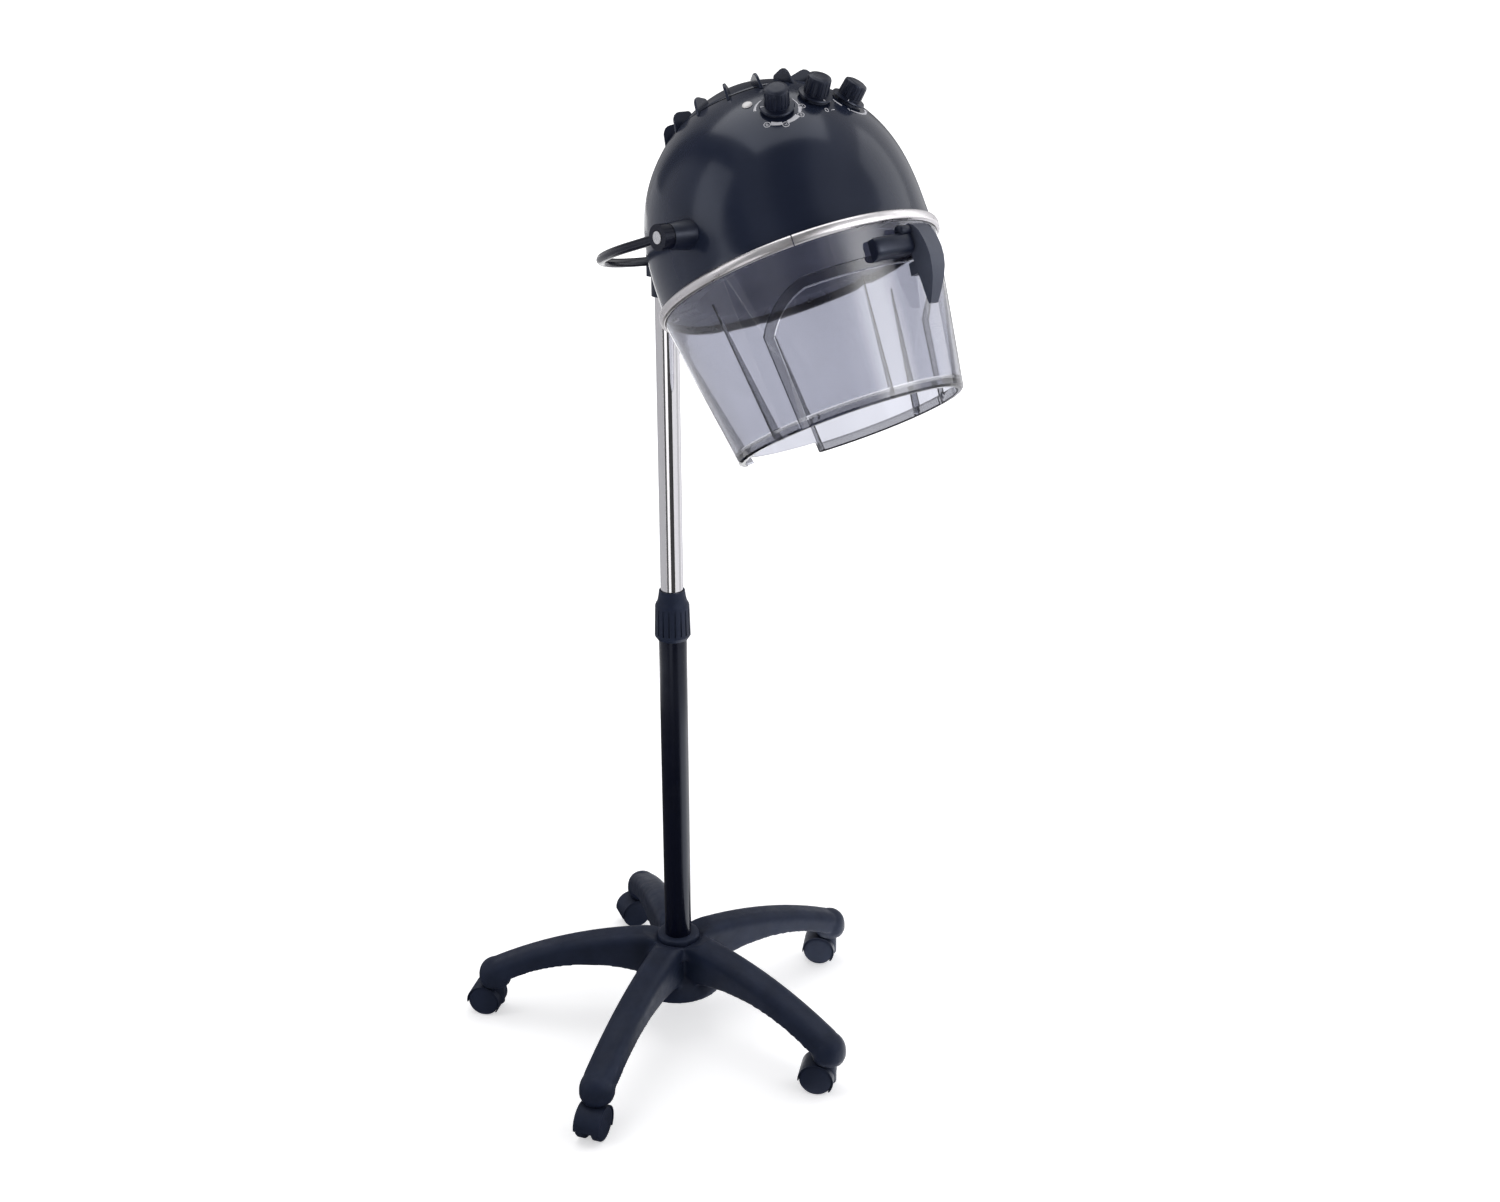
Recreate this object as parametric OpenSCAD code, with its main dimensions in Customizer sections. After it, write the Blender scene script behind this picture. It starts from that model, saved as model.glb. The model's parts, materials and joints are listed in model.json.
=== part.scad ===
// Hood hair dryer on a rolling five-star stand.
// Frame: +Z up, origin on the floor under the mast axis, hood front toward -Y.

/* [Base] */
// Radius of the circle on which the caster stems stand
leg_r = 250; // [240:1:260]
// Direction of the first leg, degrees from +X
leg_phase = -8.2; // [-36:0.1:36]
// Height of the caster sockets above the floor
socket_z = 44.5; // [44.5:0.5:47]
// Width of each leg
leg_w = 40; // [36:1:42]
// Outer radius of the round boss at each leg tip
tip_r = 22; // [21:0.5:23]

/* [Casters] */
// Radius of a caster wheel
wheel_r = 21; // [20:0.5:21]
// Distance from stem axis to wheel axle
caster_trail = 14; // [12:0.5:16]
// Half of the overall width over both wheels
caster_hw = 17; // [16:0.5:18]

/* [Mast] */
// Outer radius of the fixed lower tube
lower_r = 17.5; // [17.5:0.5:17.5]
// Outer radius of the sliding chromed tube
mast_r = 14; // [14:0.5:14]
// Top of the lower tube
lower_top = 575; // [560:1:590]
// Lower end of the sliding tube as set
mast_bottom = 400; // [380:1:410]
// Upper end of the sliding tube as set
mast_top = 1000; // [998:1:1002]

/* [Hood] */
// Backward lean of the hood axis as set, degrees
hood_tilt = 29.1; // [10:0.1:35]
// Distance of the rim centre in front of the mast axis
hood_reach = 220; // [215:1:225]
// Height of the rim centre above the floor
hood_z = 1025; // [1020:1:1030]
// Height of the dome above the rim
dome_h = 202; // [198:1:206]
// Largest radius of the dome
dome_r = 145.8; // [145:0.1:147]
// Wall thickness of the dome
dome_t = 3; // [2.5:0.1:3.5]
// Number of fins round the air intake cap
fin_count = 16; // [12:1:20]

/* [Skirt and flap] */
// Depth of the clear skirt below the rim
skirt_h = 172; // [165:1:180]
// Outer radius of the skirt just below the trim ring
skirt_r0 = 148; // [147:0.1:148.5]
// Outer radius of the skirt at its lower rim
skirt_r1 = 121.5; // [119:0.5:124]
// Wall thickness of the clear parts
skirt_t = 2.5; // [2:0.1:3]
// Direction of the flap centre, degrees from the hood's front toward +X
flap_az = 7.5; // [0:0.5:10]
// Half of the flap's angular width
flap_half = 73.5; // [70:0.5:76]

/* [Yoke] */
// Radius of the bent rod
rod_r = 5; // [4.5:0.1:5.5]
// Sideways distance of the rod's centreline from the middle
yoke_half = 174; // [172:0.5:176]
// Slope of the yoke plane down toward the mast, degrees
yoke_slope = 15.3; // [14.5:0.1:16]

/* [Hidden] */
$fn = 64;

// which way each caster trails, degrees from +X
trail_dir = [130, 127, 210, 127, 160];
function leg_a(k) = leg_phase - 72*(k - 1);

// dome profile: a flattened egg, t runs from 0 at the side to 90 at the crown
dome_hm = 14;
function egg(t, r, h) = [r*pow(cos(t), 1.282), dome_hm + (h - dome_hm)*pow(sin(t), 0.735)];
function elev(t) = let(a = egg(t - 1, dome_r, dome_h), b = egg(t + 1, dome_r, dome_h)) atan((a[0] - b[0])/(b[1] - a[1]));
// vent opening and cap edge on the profile
t_open = 49.4;
t_cap = 52.1;
function arc_pts(t0, t1, r, h, n) = [for (i = [0:n]) egg(t0 + (t1 - t0)*i/n, r, h)];
// skirt radius at depth z (negative)
function skirt_r(z) = skirt_r0 + (skirt_r1 - skirt_r0)*(-z - 9)/(skirt_h - 9);

// pivot axis of the hood, in the hood's own frame (y is backward)
piv_y = -20;
piv_z = 45;
// controls on the dome: direction and place on the profile
ctl_t = [31.2, 33.2, 30.8];
ctl_az = [-28.2, -6.2, 13.5];
lamp_az = -40.6;
lamp_t = 37.9;
// flap hinge axis in the flap's own direction: forward distance and height
hin_b = 153.5;
hin_z = -23;

// ---------- frames ----------
module hood_frame() { translate([0, -hood_reach, hood_z]) rotate([-hood_tilt, 0, 0]) children(); }
module radial(az) { rotate([0, 0, az - 90]) children(); }
module at_dome(az, t) {
  p = egg(t, dome_r, dome_h);
  radial(az) translate([p[0], 0, p[1]]) rotate([0, 90 - elev(t), 0]) children();
}
module dome_solid(d = 0) {
  rotate_extrude($fn = 128) polygon(concat([[0, -20], [dome_r + 0.95 - d, -20], [dome_r + 0.95 - d, 0], [dome_r + 0.3 - d, 5]],
    arc_pts(0, 90, dome_r - d, dome_h - d, 24)));
}
module skirt_solid(d = 0) {
  rotate_extrude($fn = 128) polygon([[0, -skirt_h - 5], [skirt_r(-skirt_h - 5) - d, -skirt_h - 5], [skirt_r(-9) - d, -9], [0, -9]]);
}
// piv_world: yoke plane frame, origin on the pivot axis, +Y backward down the slope
function piv_w() = [0, -hood_reach + piv_y*cos(hood_tilt) + piv_z*sin(hood_tilt), hood_z - piv_y*sin(hood_tilt) + piv_z*cos(hood_tilt)];
module yoke_frame() { translate(piv_w()) rotate([-yoke_slope, 0, 0]) children(); }
yoke_len = -piv_w()[1]/cos(yoke_slope);
yoke_mid_z = piv_w()[2] - yoke_len*sin(yoke_slope);

// ---------- base ----------
module at_leg(k) { rotate([0, 0, leg_a(k)]) children(); }
// section of a leg: flat sides, rounded top, in x = across, y = up from the arc
module leg_section(w, top, deep, rr) {
  square_w = w - 2*rr;
  translate([top - rr - deep, -w/2]) square([deep, w]);
  translate([top - rr - 1, -square_w/2]) square([rr + 1, square_w]);
  for (s = [-1, 1]) translate([top - rr, s*square_w/2]) circle(rr, $fn = 48);
}
module leg_solid(w, drop, rr, a0 = 64.45, a1 = 88) {
  // crest runs on an arc of radius 560 centred at r = 8.7, z = -425
  translate([8.7, 0, -425.3]) rotate([90, 0, 0]) rotate([0, 0, a0]) rotate_extrude(angle = a1 - a0, $fn = 160)
    translate([0, 0]) leg_section(w, 560 - drop, 62, rr);
}
module base_star() color([0.09, 0.095, 0.11]) difference() {
  union() {
    translate([0, 0, 60]) cylinder(r = 33, h = 64);
    translate([0, 0, 112]) rotate_extrude() polygon([[20, 0], [44, 0], [40, 6], [34, 10], [28.5, 12], [20, 12]]);
    for (k = [1:5]) at_leg(k) {
      difference() {
        leg_solid(leg_w, 0, 13);
        // arched underside
        translate([115, 0, -162]) rotate([90, 0, 0]) cylinder(r = 249, h = 90, center = true, $fn = 160);
        translate([-60, -40, -10]) cube([320, 80, 68]);
        // slope down to the collar
        rotate_extrude() polygon([[0, 125.5], [29, 125.5], [52, 135.5], [52, 150], [0, 150]]);
        // hollow channel below the crest
        translate([46, -leg_w/2 + 5, 40]) intersection() {
          cube([172, leg_w - 10, 60]);
          translate([115 - 46, leg_w/2 - 5, -202]) rotate([90, 0, 0]) cylinder(r = 270, h = 90, center = true, $fn = 160);
        }
      }
      translate([leg_r, 0, 0]) rotate_extrude() polygon(concat([[0, socket_z], [tip_r - 2, socket_z], [tip_r - 2, socket_z + 5], [tip_r, socket_z + 6.5]],
        [for (a = [0:9:90]) [tip_r*pow(cos(a), 0.86), 57 + 23.6*pow(sin(a), 0.9)]]));
    }
  }
  translate([0, 0, 66]) cylinder(r = lower_r, h = 80);
  translate([0, 0, 50]) cylinder(r = 4.3, h = 30);
  for (k = [1:5]) at_leg(k) translate([leg_r, 0, socket_z - 1]) cylinder(r = 5.5, h = 25);
}
module base_collar() color([0.07, 0.075, 0.09]) translate([0, 0, 124]) rotate_extrude() polygon([[lower_r, 0], [28, 0], [28, 5], [27, 7], [25, 8], [lower_r, 8]]);
module base_plug() color([0.08, 0.085, 0.1]) rotate_extrude() polygon([[9, 60], [25, 60], [25, 52], [23, 50], [9, 50]]);
module base_bolt() color("silver") union() {
  translate([0, 0, 52]) cylinder(r = 7.5, h = 6, $fn = 6);
  translate([0, 0, 58]) cylinder(r = 8.8, h = 2);
  translate([0, 0, 60]) cylinder(r = 4.2, h = 14);
}
module caster_stems() color("silver") for (k = [1:5]) at_leg(k) translate([leg_r, 0, 0]) {
  translate([0, 0, 24]) cylinder(r = 4, h = 20);
  translate([0, 0, socket_z - 1]) cylinder(r = 8, h = 1);
  translate([0, 0, socket_z - 0.6]) cylinder(r = 5.5, h = 23);
}
module lower_tube() color([0.05, 0.055, 0.07]) difference() {
  translate([0, 0, 66]) cylinder(r = lower_r, h = lower_top - 66);
  translate([0, 0, 76]) cylinder(r = 16, h = lower_top);
  translate([0, 0, 60]) cylinder(r = 4.2, h = 14.5);
}
module guide_bush() color([0.85, 0.85, 0.82]) rotate_extrude() polygon([[mast_r + 0.06, lower_top - 40], [16, lower_top - 40], [16, lower_top],
  [lower_r, lower_top], [lower_r, lower_top + 2], [mast_r + 0.06, lower_top + 2]]);
module collet() color([0.8, 0.8, 0.78]) difference() {
  translate([0, 0, lower_top + 2]) rotate_extrude() polygon([[mast_r + 0.06, 0], [17.3, 0], [17.3, 8], [15.8, 22], [mast_r + 0.06, 22]]);
  for (a = [0:45:135]) rotate([0, 0, a]) translate([-30, -0.8, lower_top + 7]) cube([60, 1.6, 30]);
}
module lock_collar() color([0.06, 0.065, 0.08]) difference() {
  union() {
    translate([0, 0, 557]) cylinder(r1 = 22.3, r2 = 21.2, h = 39);
    translate([0, 0, 552]) cylinder(r1 = 19, r2 = 22.3, h = 5);
    translate([0, 0, 596]) rotate_extrude() polygon([[0, 0], [21.2, 0], [20.4, 2.5], [18.4, 6], [17.2, 11], [16.5, 16], [15.9, 20], [0, 20]]);
  }
  translate([0, 0, 540]) cylinder(r = lower_r + 0.06, h = 46);
  translate([0, 0, 578]) cylinder(r = 18, h = 20);
  translate([0, 0, 598]) cylinder(r1 = 18, r2 = 15, h = 3);
  translate([0, 0, 600]) cylinder(r = mast_r + 0.5, h = 30);
  for (i = [0:17]) rotate([0, 0, i*20]) translate([20.6, -0.9, 560]) cube([5, 1.8, 33]);
}

// ---------- casters ----------
module at_caster(k) { at_leg(k) translate([leg_r, 0, 0]) rotate([0, 0, trail_dir[k - 1] - leg_a(k)]) children(); }
module caster_cowl() color([0.08, 0.085, 0.1]) difference() {
  union() {
    difference() {
      translate([caster_trail, 0, wheel_r]) rotate([90, 0, 0]) cylinder(r = 22.8, h = 2*caster_hw, center = true, $fn = 96);
      for (s = [-1, 1]) translate([caster_trail, s*(4.6 + 15), wheel_r]) rotate([90, 0, 0]) cylinder(r = wheel_r + 0.45, h = 30, center = true, $fn = 96);
      // cut away on the leading side below the hood
      rotate([0, 0, 0]) translate([caster_trail - 3, -30, -5]) cube([60, 60, 5 + 19]);
      translate([-40, -30, -5]) cube([80, 60, 5 + 7]);
    }
    // centre web and stem housing
    translate([caster_trail, 0, wheel_r]) rotate([90, 0, 0]) cylinder(r = 15, h = 9.2, center = true);
    translate([0, 0, 14]) cylinder(r = 10.5, h = 29);
  }
  for (s = [-1, 1]) translate([caster_trail, s*(4.6 + 15), wheel_r]) rotate([90, 0, 0]) cylinder(r = wheel_r + 0.45, h = 30, center = true, $fn = 96);
  translate([0, 0, 23]) cylinder(r = 4.06, h = 30);
  translate([caster_trail, 0, wheel_r]) rotate([90, 0, 0]) cylinder(r = 3.06, h = 60, center = true);
}
module caster_wheels() color([0.06, 0.065, 0.08]) for (s = [-1, 1]) translate([caster_trail, 0, wheel_r]) rotate([90*s, 0, 0])
  rotate_extrude($fn = 96) polygon([[3, 5], [wheel_r - 1, 5], [wheel_r, 6], [wheel_r, caster_hw - 2.5], [wheel_r - 1, caster_hw - 1], [wheel_r - 3, caster_hw - 0.3],
    [10, caster_hw], [0, caster_hw], [0, caster_hw - 3], [3, caster_hw - 3]]);
module caster_axle() color("silver") translate([caster_trail, 0, wheel_r]) rotate([90, 0, 0]) cylinder(r = 3, h = 2*(caster_hw - 3), center = true);

// ---------- mast ----------
module mast_tube() color([0.8, 0.81, 0.83]) difference() {
  translate([0, 0, mast_bottom]) cylinder(r = mast_r, h = mast_top - mast_bottom);
  translate([0, 0, mast_bottom - 1]) cylinder(r = mast_r - 1.5, h = mast_top - mast_bottom + 2);
}
module mast_glide() color([0.85, 0.85, 0.82]) rotate_extrude() polygon([[mast_r, mast_bottom], [15.94, mast_bottom], [15.94, mast_bottom + 40], [mast_r, mast_bottom + 40]]);
module rod_path(r) {
  translate([0, yoke_len - yoke_half, 0]) rotate_extrude(angle = 180, $fn = 128) translate([yoke_half, 0]) circle(r, $fn = 48);
  for (s = [-1, 1]) translate([s*yoke_half, 0, 0]) rotate([-90, 0, 0]) cylinder(r = r, h = yoke_len - yoke_half, $fn = 48);
}
module yoke() color([0.05, 0.055, 0.07]) yoke_frame() difference() {
  union() {
    rod_path(rod_r);
    for (s = [-1, 1]) translate([s*yoke_half, 0, 0]) rotate([0, 90, 0]) cylinder(r = 12.8, h = 12, center = true);
  }
  for (s = [-1, 1]) translate([s*yoke_half, 0, 0]) rotate([0, 90, 0]) cylinder(r = 4.06, h = 20, center = true);
  for (s = [-1, 1]) translate([s*(yoke_half + 6), 0, 0]) rotate([0, 90, 0]) cylinder(r = 6.6, h = 6, center = true);
}
module friction_washers() color([0.2, 0.2, 0.2]) yoke_frame() for (s = [-1, 1]) translate([s*(yoke_half - 6.5), 0, 0]) rotate([0, 90, 0]) difference() {
  cylinder(r = 11.8, h = 1, center = true);
  cylinder(r = 4.3, h = 3, center = true);
}
module yoke_bracket() color([0.06, 0.065, 0.08]) difference() {
  union() {
    translate([0, 0, mast_top - 26]) cylinder(r = 17.5, h = 28);
    translate([-17, -15, mast_top - 4]) cube([34, 30, yoke_mid_z - mast_top + 4]);
  }
  translate([0, 0, mast_top - 30]) cylinder(r = mast_r + 0.06, h = 30.1);
  yoke_frame() rod_path(rod_r + 0.05);
  for (x = [-11, 11], y = [-10, 10]) translate([x, y, mast_top + 2]) cylinder(r = 1.6, h = 30);
}
module bracket_cap() color([0.06, 0.065, 0.08]) difference() {
  translate([-17, -15, yoke_mid_z]) cube([34, 30, 10]);
  yoke_frame() rod_path(rod_r + 0.05);
  for (x = [-11, 11], y = [-10, 10]) translate([x, y, yoke_mid_z - 5]) cylinder(r = 1.9, h = 30);
}
module bracket_screws() color("silver") for (x = [-11, 11], y = [-10, 10]) translate([x, y, 0]) {
  translate([0, 0, mast_top + 3]) cylinder(r = 1.6, h = yoke_mid_z + 10 - mast_top - 3);
  translate([0, 0, yoke_mid_z + 10]) cylinder(r = 3, h = 2);
}

// ---------- hood shell ----------
module control_holes() {
  for (i = [0:2]) at_dome(ctl_az[i], ctl_t[i]) translate([0, 0, -12]) cylinder(r = 5.2, h = 24);
  at_dome(lamp_az, lamp_t) translate([0, 0, -12]) cylinder(r = 4.1, h = 24);
  radial(180) translate([dome_r - 10, 0, 30]) rotate([0, 90, 0]) cylinder(r = 6.1, h = 20);
  for (s = [-1, 1]) translate([s*dome_r, piv_y, piv_z]) rotate([0, 90, 0]) cylinder(r = 4.2, h = 24, center = true);
}
module dome_shell() color([0.03, 0.034, 0.045]) hood_frame() difference() {
  union() {
    rotate_extrude($fn = 128) polygon(concat([[dome_r + 0.95, 0], [dome_r + 0.3, 5]], arc_pts(0, t_open, dome_r, dome_h, 14),
      [for (i = [14:-1:0]) egg(t_open*i/14, dome_r - dome_t, dome_h - dome_t)], [[dome_r + 0.95 - dome_t, 0]]));
    // posts that carry the bowl
    for (a = [45:90:315]) radial(a) intersection() {
      translate([137.5, 0, 0]) cylinder(r = 6, h = 16);
      translate([0, 0, -1]) cylinder(r = dome_r - dome_t + 0.4, h = 30, $fn = 128);
    }
    // ribs that carry the motor bracket
    intersection() {
      dome_solid(1);
      for (a = [-60, 60, 180]) radial(a) translate([97, -5, 126]) cube([40, 10, 17]);
    }
  }
  for (a = [45:90:315]) radial(a) translate([137, 0, -1]) cylinder(r = 1.5, h = 12);
  control_holes();
}
module vent_cap() color([0.04, 0.044, 0.055]) hood_frame() union() {
  rotate_extrude($fn = 128) polygon(concat(arc_pts(t_cap, 90, dome_r, dome_h, 14),
    [for (i = [14:-1:0]) egg(t_cap + (90 - t_cap)*i/14, dome_r - 2.6, dome_h - 2.6)]));
  for (i = [0:fin_count - 1]) radial(-5 + i*360/fin_count) rotate([90, 0, 0]) linear_extrude(3, center = true)
    polygon([[64, 178.4], [66, 183.6], [80, 183.6], [84.5, 181.8], [87.5, 178], [90.8, 162], [84, 166.6], [81, 166.5], [76.5, 171.4], [70, 175]]);
  translate([0, 0, 184]) cylinder(r = 5, h = 16);
}
module pivot_bosses() color([0.05, 0.055, 0.07]) hood_frame() for (s = [-1, 1]) difference() {
  translate([s*166.9, piv_y, piv_z]) rotate([0, -90*s, 0]) cylinder(r1 = 12.8, r2 = 15.6, h = 30);
  dome_solid();
  translate([s*150, piv_y, piv_z]) rotate([0, 90, 0]) cylinder(r = 4, h = 60, center = true);
}
module pivot_screws() color("silver") hood_frame() for (s = [-1, 1]) translate([0, piv_y, piv_z]) rotate([0, 90*s, 0]) {
  translate([0, 0, 133]) cylinder(r = 4, h = yoke_half + 3.1 - 133);
  translate([0, 0, yoke_half + 3.1]) cylinder(r = 6.1, h = 3.5);
  translate([0, 0, 133.6]) cylinder(r = 6.6, h = 4.4, $fn = 6);
}
module trim_ring() color([0.75, 0.75, 0.76]) hood_frame() rotate_extrude($fn = 128)
  polygon([[146.62, -0.1], [149.3, -0.1], [151.4, -2], [152.4, -4.5], [151.6, -7], [149.6, -8.9], [146.62, -8.9]]);
// front opening in the skirt: m is the inset from its outer line
module opening_corners(m) for (s = [-1, 1]) rotate([0, 0, s*43.5]) difference() {
  translate([60, s > 0 ? 0 : -130, -113.5]) cube([140, 130, 113.5]);
  translate([50, 0, -113.5]) rotate([0, 90, 0]) cylinder(r = 77.3 - m, h = 160);
}
module opening_solid(m = 0) {
  h = flap_half - m*0.4;
  radial(flap_az) difference() {
    rotate([0, 0, -h]) rotate_extrude(angle = 2*h) translate([60, -190]) square([140, 190 - 38.5 - m]);
    opening_corners(m);
  }
}
module rib(az, z0, z1, d) radial(az) rotate([90, 0, 0]) linear_extrude(2.4, center = true)
  polygon([[skirt_r(z0) - skirt_t + 0.3, z0], [skirt_r(z1) - skirt_t + 0.3, z1], [skirt_r(z1) - skirt_t - d, z1], [skirt_r(z0) - skirt_t, z0]]);
module hood_skirt() color([0.45, 0.46, 0.52, 0.45]) hood_frame() difference() {
  union() {
    rotate_extrude($fn = 128) polygon([[146.6, 0], [146.6, -9], [skirt_r0, -9], [skirt_r(-skirt_h + 2), -skirt_h + 2], [skirt_r1 - 2, -skirt_h],
      [skirt_r1 - 6, -skirt_h], [skirt_r1 - 6, -skirt_h + 8], [skirt_r(-skirt_h + 11) - skirt_t, -skirt_h + 11], [skirt_r0 - skirt_t, -10], [143.6, -8], [143.6, 0]]);
    for (a = [-148, -89, 89, 148]) rib(flap_az + a, -26, -skirt_h + 1, 11);
  }
  opening_solid(10);
  // stepped band round the opening
  difference() { opening_solid(0); skirt_solid(1.1); }
  // neck notch at the back
  radial(flap_az + 180) rotate([0, 0, -31]) rotate_extrude(angle = 62, $fn = 128) translate([90, -skirt_h - 5]) square([60, 17.6]);
}
module flap() color([0.5, 0.51, 0.57, 0.4]) hood_frame() radial(flap_az) difference() {
  union() {
    rotate([0, 0, -flap_half + 4.5]) rotate_extrude(angle = 2*flap_half - 9) polygon([[skirt_r(-49.7), -49.7], [skirt_r(-skirt_h + 2), -skirt_h + 2], [skirt_r1 - 2, -skirt_h],
      [skirt_r1 - 6, -skirt_h], [skirt_r1 - 6, -skirt_h + 8], [skirt_r(-skirt_h + 11) - skirt_t, -skirt_h + 11], [skirt_r(-49.7) - skirt_t, -49.7]]);
    rotate([0, 0, 90]) for (a = [-27.5, 27.5]) rib(a, -55, -skirt_h + 1, 7);
  }
  opening_corners(11.2);
}
// hinge pad in two ears beside the lever
module hinge_block() color([0.07, 0.075, 0.09]) hood_frame() radial(flap_az) difference() {
  union() {
    rotate([0, 0, -24]) rotate_extrude(angle = 32) polygon([[142, -47], [154, -47], [157.5, -44.5], [159.5, -40], [159.5, -33], [157.5, -29], [154, -27.5], [142, -27.5]]);
    for (y = [-28, 13]) translate([hin_b, y, hin_z]) rotate([-90, 0, 0]) cylinder(r = 6.4, h = y < 0 ? 15 : 8);
    for (y = [-28, 13]) translate([hin_b - 6.4, y, -38]) cube([12.8, y < 0 ? 15 : 8, 15]);
  }
  skirt_solid(-0.02);
  translate([100, -12.9, -60]) cube([80, 25.8, 60]);
  translate([hin_b, 0, hin_z]) rotate([90, 0, 0]) cylinder(r = 2, h = 52, center = true);
}
module hinge_pin() color("silver") hood_frame() radial(flap_az) translate([hin_b, -26, hin_z]) rotate([-90, 0, 0]) cylinder(r = 2, h = 46);
module flap_lever() color([0.16, 0.17, 0.2]) hood_frame() radial(flap_az) difference() {
  union() {
    intersection() {
      rotate([90, 0, 0]) linear_extrude(60, center = true) polygon([[147.9, -23], [149.3, -19.6], [152, -17.2], [156.4, -17.2], [161, -20.8], [165.2, -28], [167.5, -38], [168.3, -46], [167.8, -55],
        [165.4, -65], [161, -75], [154, -86], [147.5, -95], [144.8, -95], [145.6, -86], [147, -74], [148, -62], [148.3, -54], [148.3, -40]]);
      // taper toward the tip
      translate([130, 0, 0]) rotate([90, 0, 90]) linear_extrude(60) polygon([[-12, -10], [-12, -44], [-11, -62], [-8.2, -82], [-5.5, -98], [5.5, -98], [8.2, -82], [11, -62], [12, -44], [12, -10]]);
    }
    // foot on the flap
    difference() {
      translate([134, -10, -64]) cube([16, 20, 12]);
      skirt_solid(0);
    }
  }
  translate([hin_b, 0, hin_z]) rotate([90, 0, 0]) cylinder(r = 2.06, h = 66, center = true);
}

// ---------- inside the hood ----------
module diffuser_bowl() color([0.35, 0.36, 0.4]) hood_frame() difference() {
  rotate_extrude($fn = 128) polygon(concat([[143.2, -2.5], [143.2, 0]], [for (a = [0:9:90]) [112*cos(a), 97*sin(a)]], [for (a = [90:-9:0]) [109.6*cos(a), -2.5 + 96.8*sin(a)]]));
  for (r = [117, 123, 129], a = [0:45:315]) rotate([0, 0, a + 4]) rotate_extrude(angle = 37, $fn = 128) translate([r, -5]) square([2.4, 8]);
  for (a = [45:90:315]) radial(a) translate([137, 0, -5]) cylinder(r = 1.7, h = 10);
  for (a = [0:30:330]) rotate([0, 0, a]) { translate([48, 0, 60]) cylinder(r = 3, h = 40, $fn = 24); translate([72, 0, 50]) cylinder(r = 3, h = 40, $fn = 24); }
}
module shell_screws() color("silver") hood_frame() for (a = [45:90:315]) radial(a) translate([137, 0, 0]) {
  translate([0, 0, -2.5]) cylinder(r = 1.5, h = 12);
  translate([0, 0, -4.7]) cylinder(r = 3.5, h = 2.2);
}
module motor_bracket() color([0.6, 0.6, 0.62]) hood_frame() difference() {
  union() {
    translate([0, 0, 143]) cylinder(r = 32, h = 3);
    for (a = [-60, 60, 180]) radial(a) {
      translate([0, -7, 143]) cube([103, 14, 3]);
      translate([84, 0, 108.2]) cylinder(r = 2.5, h = 35);
    }
  }
  translate([0, 0, 140]) cylinder(r = 8, h = 10);
}
module motor() color([0.55, 0.56, 0.58]) hood_frame() difference() {
  rotate_extrude() polygon([[3.06, 146], [29, 146], [29, 178], [26, 183], [12, 184], [3.06, 184]]);
  for (a = [0:45:315]) rotate([0, 0, a]) translate([20, 0, 170]) cylinder(r = 3, h = 20, $fn = 24);
}
module motor_shaft() color("silver") hood_frame() translate([0, 0, 117]) cylinder(r = 3, h = 66);
module fan_impeller() color([0.75, 0.75, 0.7]) hood_frame() difference() {
  union() {
    translate([0, 0, 119]) cylinder(r = 58, h = 2);
    translate([0, 0, 119]) cylinder(r = 10, h = 18);
    for (a = [0:30:330]) rotate([0, 0, a]) translate([8, -0.9, 120]) cube([49.5, 1.8, 16]);
  }
  translate([0, 0, 110]) cylinder(r = 3, h = 40);
}
module heater_frame() color([0.8, 0.75, 0.6]) hood_frame() difference() {
  union() {
    translate([0, 0, 103]) difference() { cylinder(r = 86, h = 1.6); translate([0, 0, -1]) cylinder(r = 78, h = 4); }
    translate([0, 0, 103]) difference() { cylinder(r = 34, h = 1.6); translate([0, 0, -1]) cylinder(r = 28, h = 4); }
    for (a = [0:60:300]) radial(a) translate([29, -0.8, 100.5]) cube([57, 1.6, 7.7]);
  }
}
module heater_coil() color([0.5, 0.4, 0.35]) hood_frame() union() {
  for (r = [40, 49, 58, 67, 76]) translate([0, 0, 109.4]) rotate_extrude($fn = 96) translate([r, 0]) circle(1.2, $fn = 24);
  radial(210) translate([39.5, -1, 108.6]) cube([37, 2, 1.6]);
}
module thermostat() color([0.7, 0.68, 0.6]) hood_frame() radial(180) translate([70, 0, 134]) union() { cylinder(r = 7.5, h = 9); translate([-3, -9, 3]) cube([6, 18, 2]); }
module terminal_block() color([0.9, 0.9, 0.88]) hood_frame() radial(-60) translate([62, -16, 146]) difference() {
  cube([14, 32, 10]);
  for (i = [0:2]) translate([7, 6 + i*10, 4]) cylinder(r = 2.2, h = 10);
}
module cable_gland() color([0.05, 0.05, 0.06]) hood_frame() difference() {
  radial(180) translate([0, 0, 30]) rotate([0, 90, 0]) {
    translate([0, 0, dome_r - 8]) cylinder(r = 6, h = 20);
    difference() { translate([0, 0, dome_r - 4]) cylinder(r = 9, h = 9); rotate([0, -90, 0]) translate([0, 0, -30]) dome_solid(0); }
    translate([0, 0, dome_r - 8]) cylinder(r = 9, h = 4);
  }
  radial(180) translate([0, 0, 30]) rotate([0, 90, 0]) translate([0, 0, dome_r - 30]) cylinder(r = 3.6, h = 80);
}
module control_unit(i, w, l, d) hood_frame() at_dome(ctl_az[i], ctl_t[i]) difference() {
  union() {
    translate([-w/2, -l/2, -8 - d]) cube([w, l, d]);
    translate([0, 0, -9]) cylinder(r = 5, h = 8.5);
  }
  translate([0, 0, -8 - d + 4]) cylinder(r = 3.06, h = 60);
}
module timer_unit() color([0.85, 0.8, 0.65]) control_unit(0, 28, 28, 20);
module power_switch() color([0.3, 0.3, 0.32]) control_unit(1, 24, 22, 18);
module heat_control() color([0.85, 0.83, 0.78]) control_unit(2, 28, 26, 18);
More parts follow.
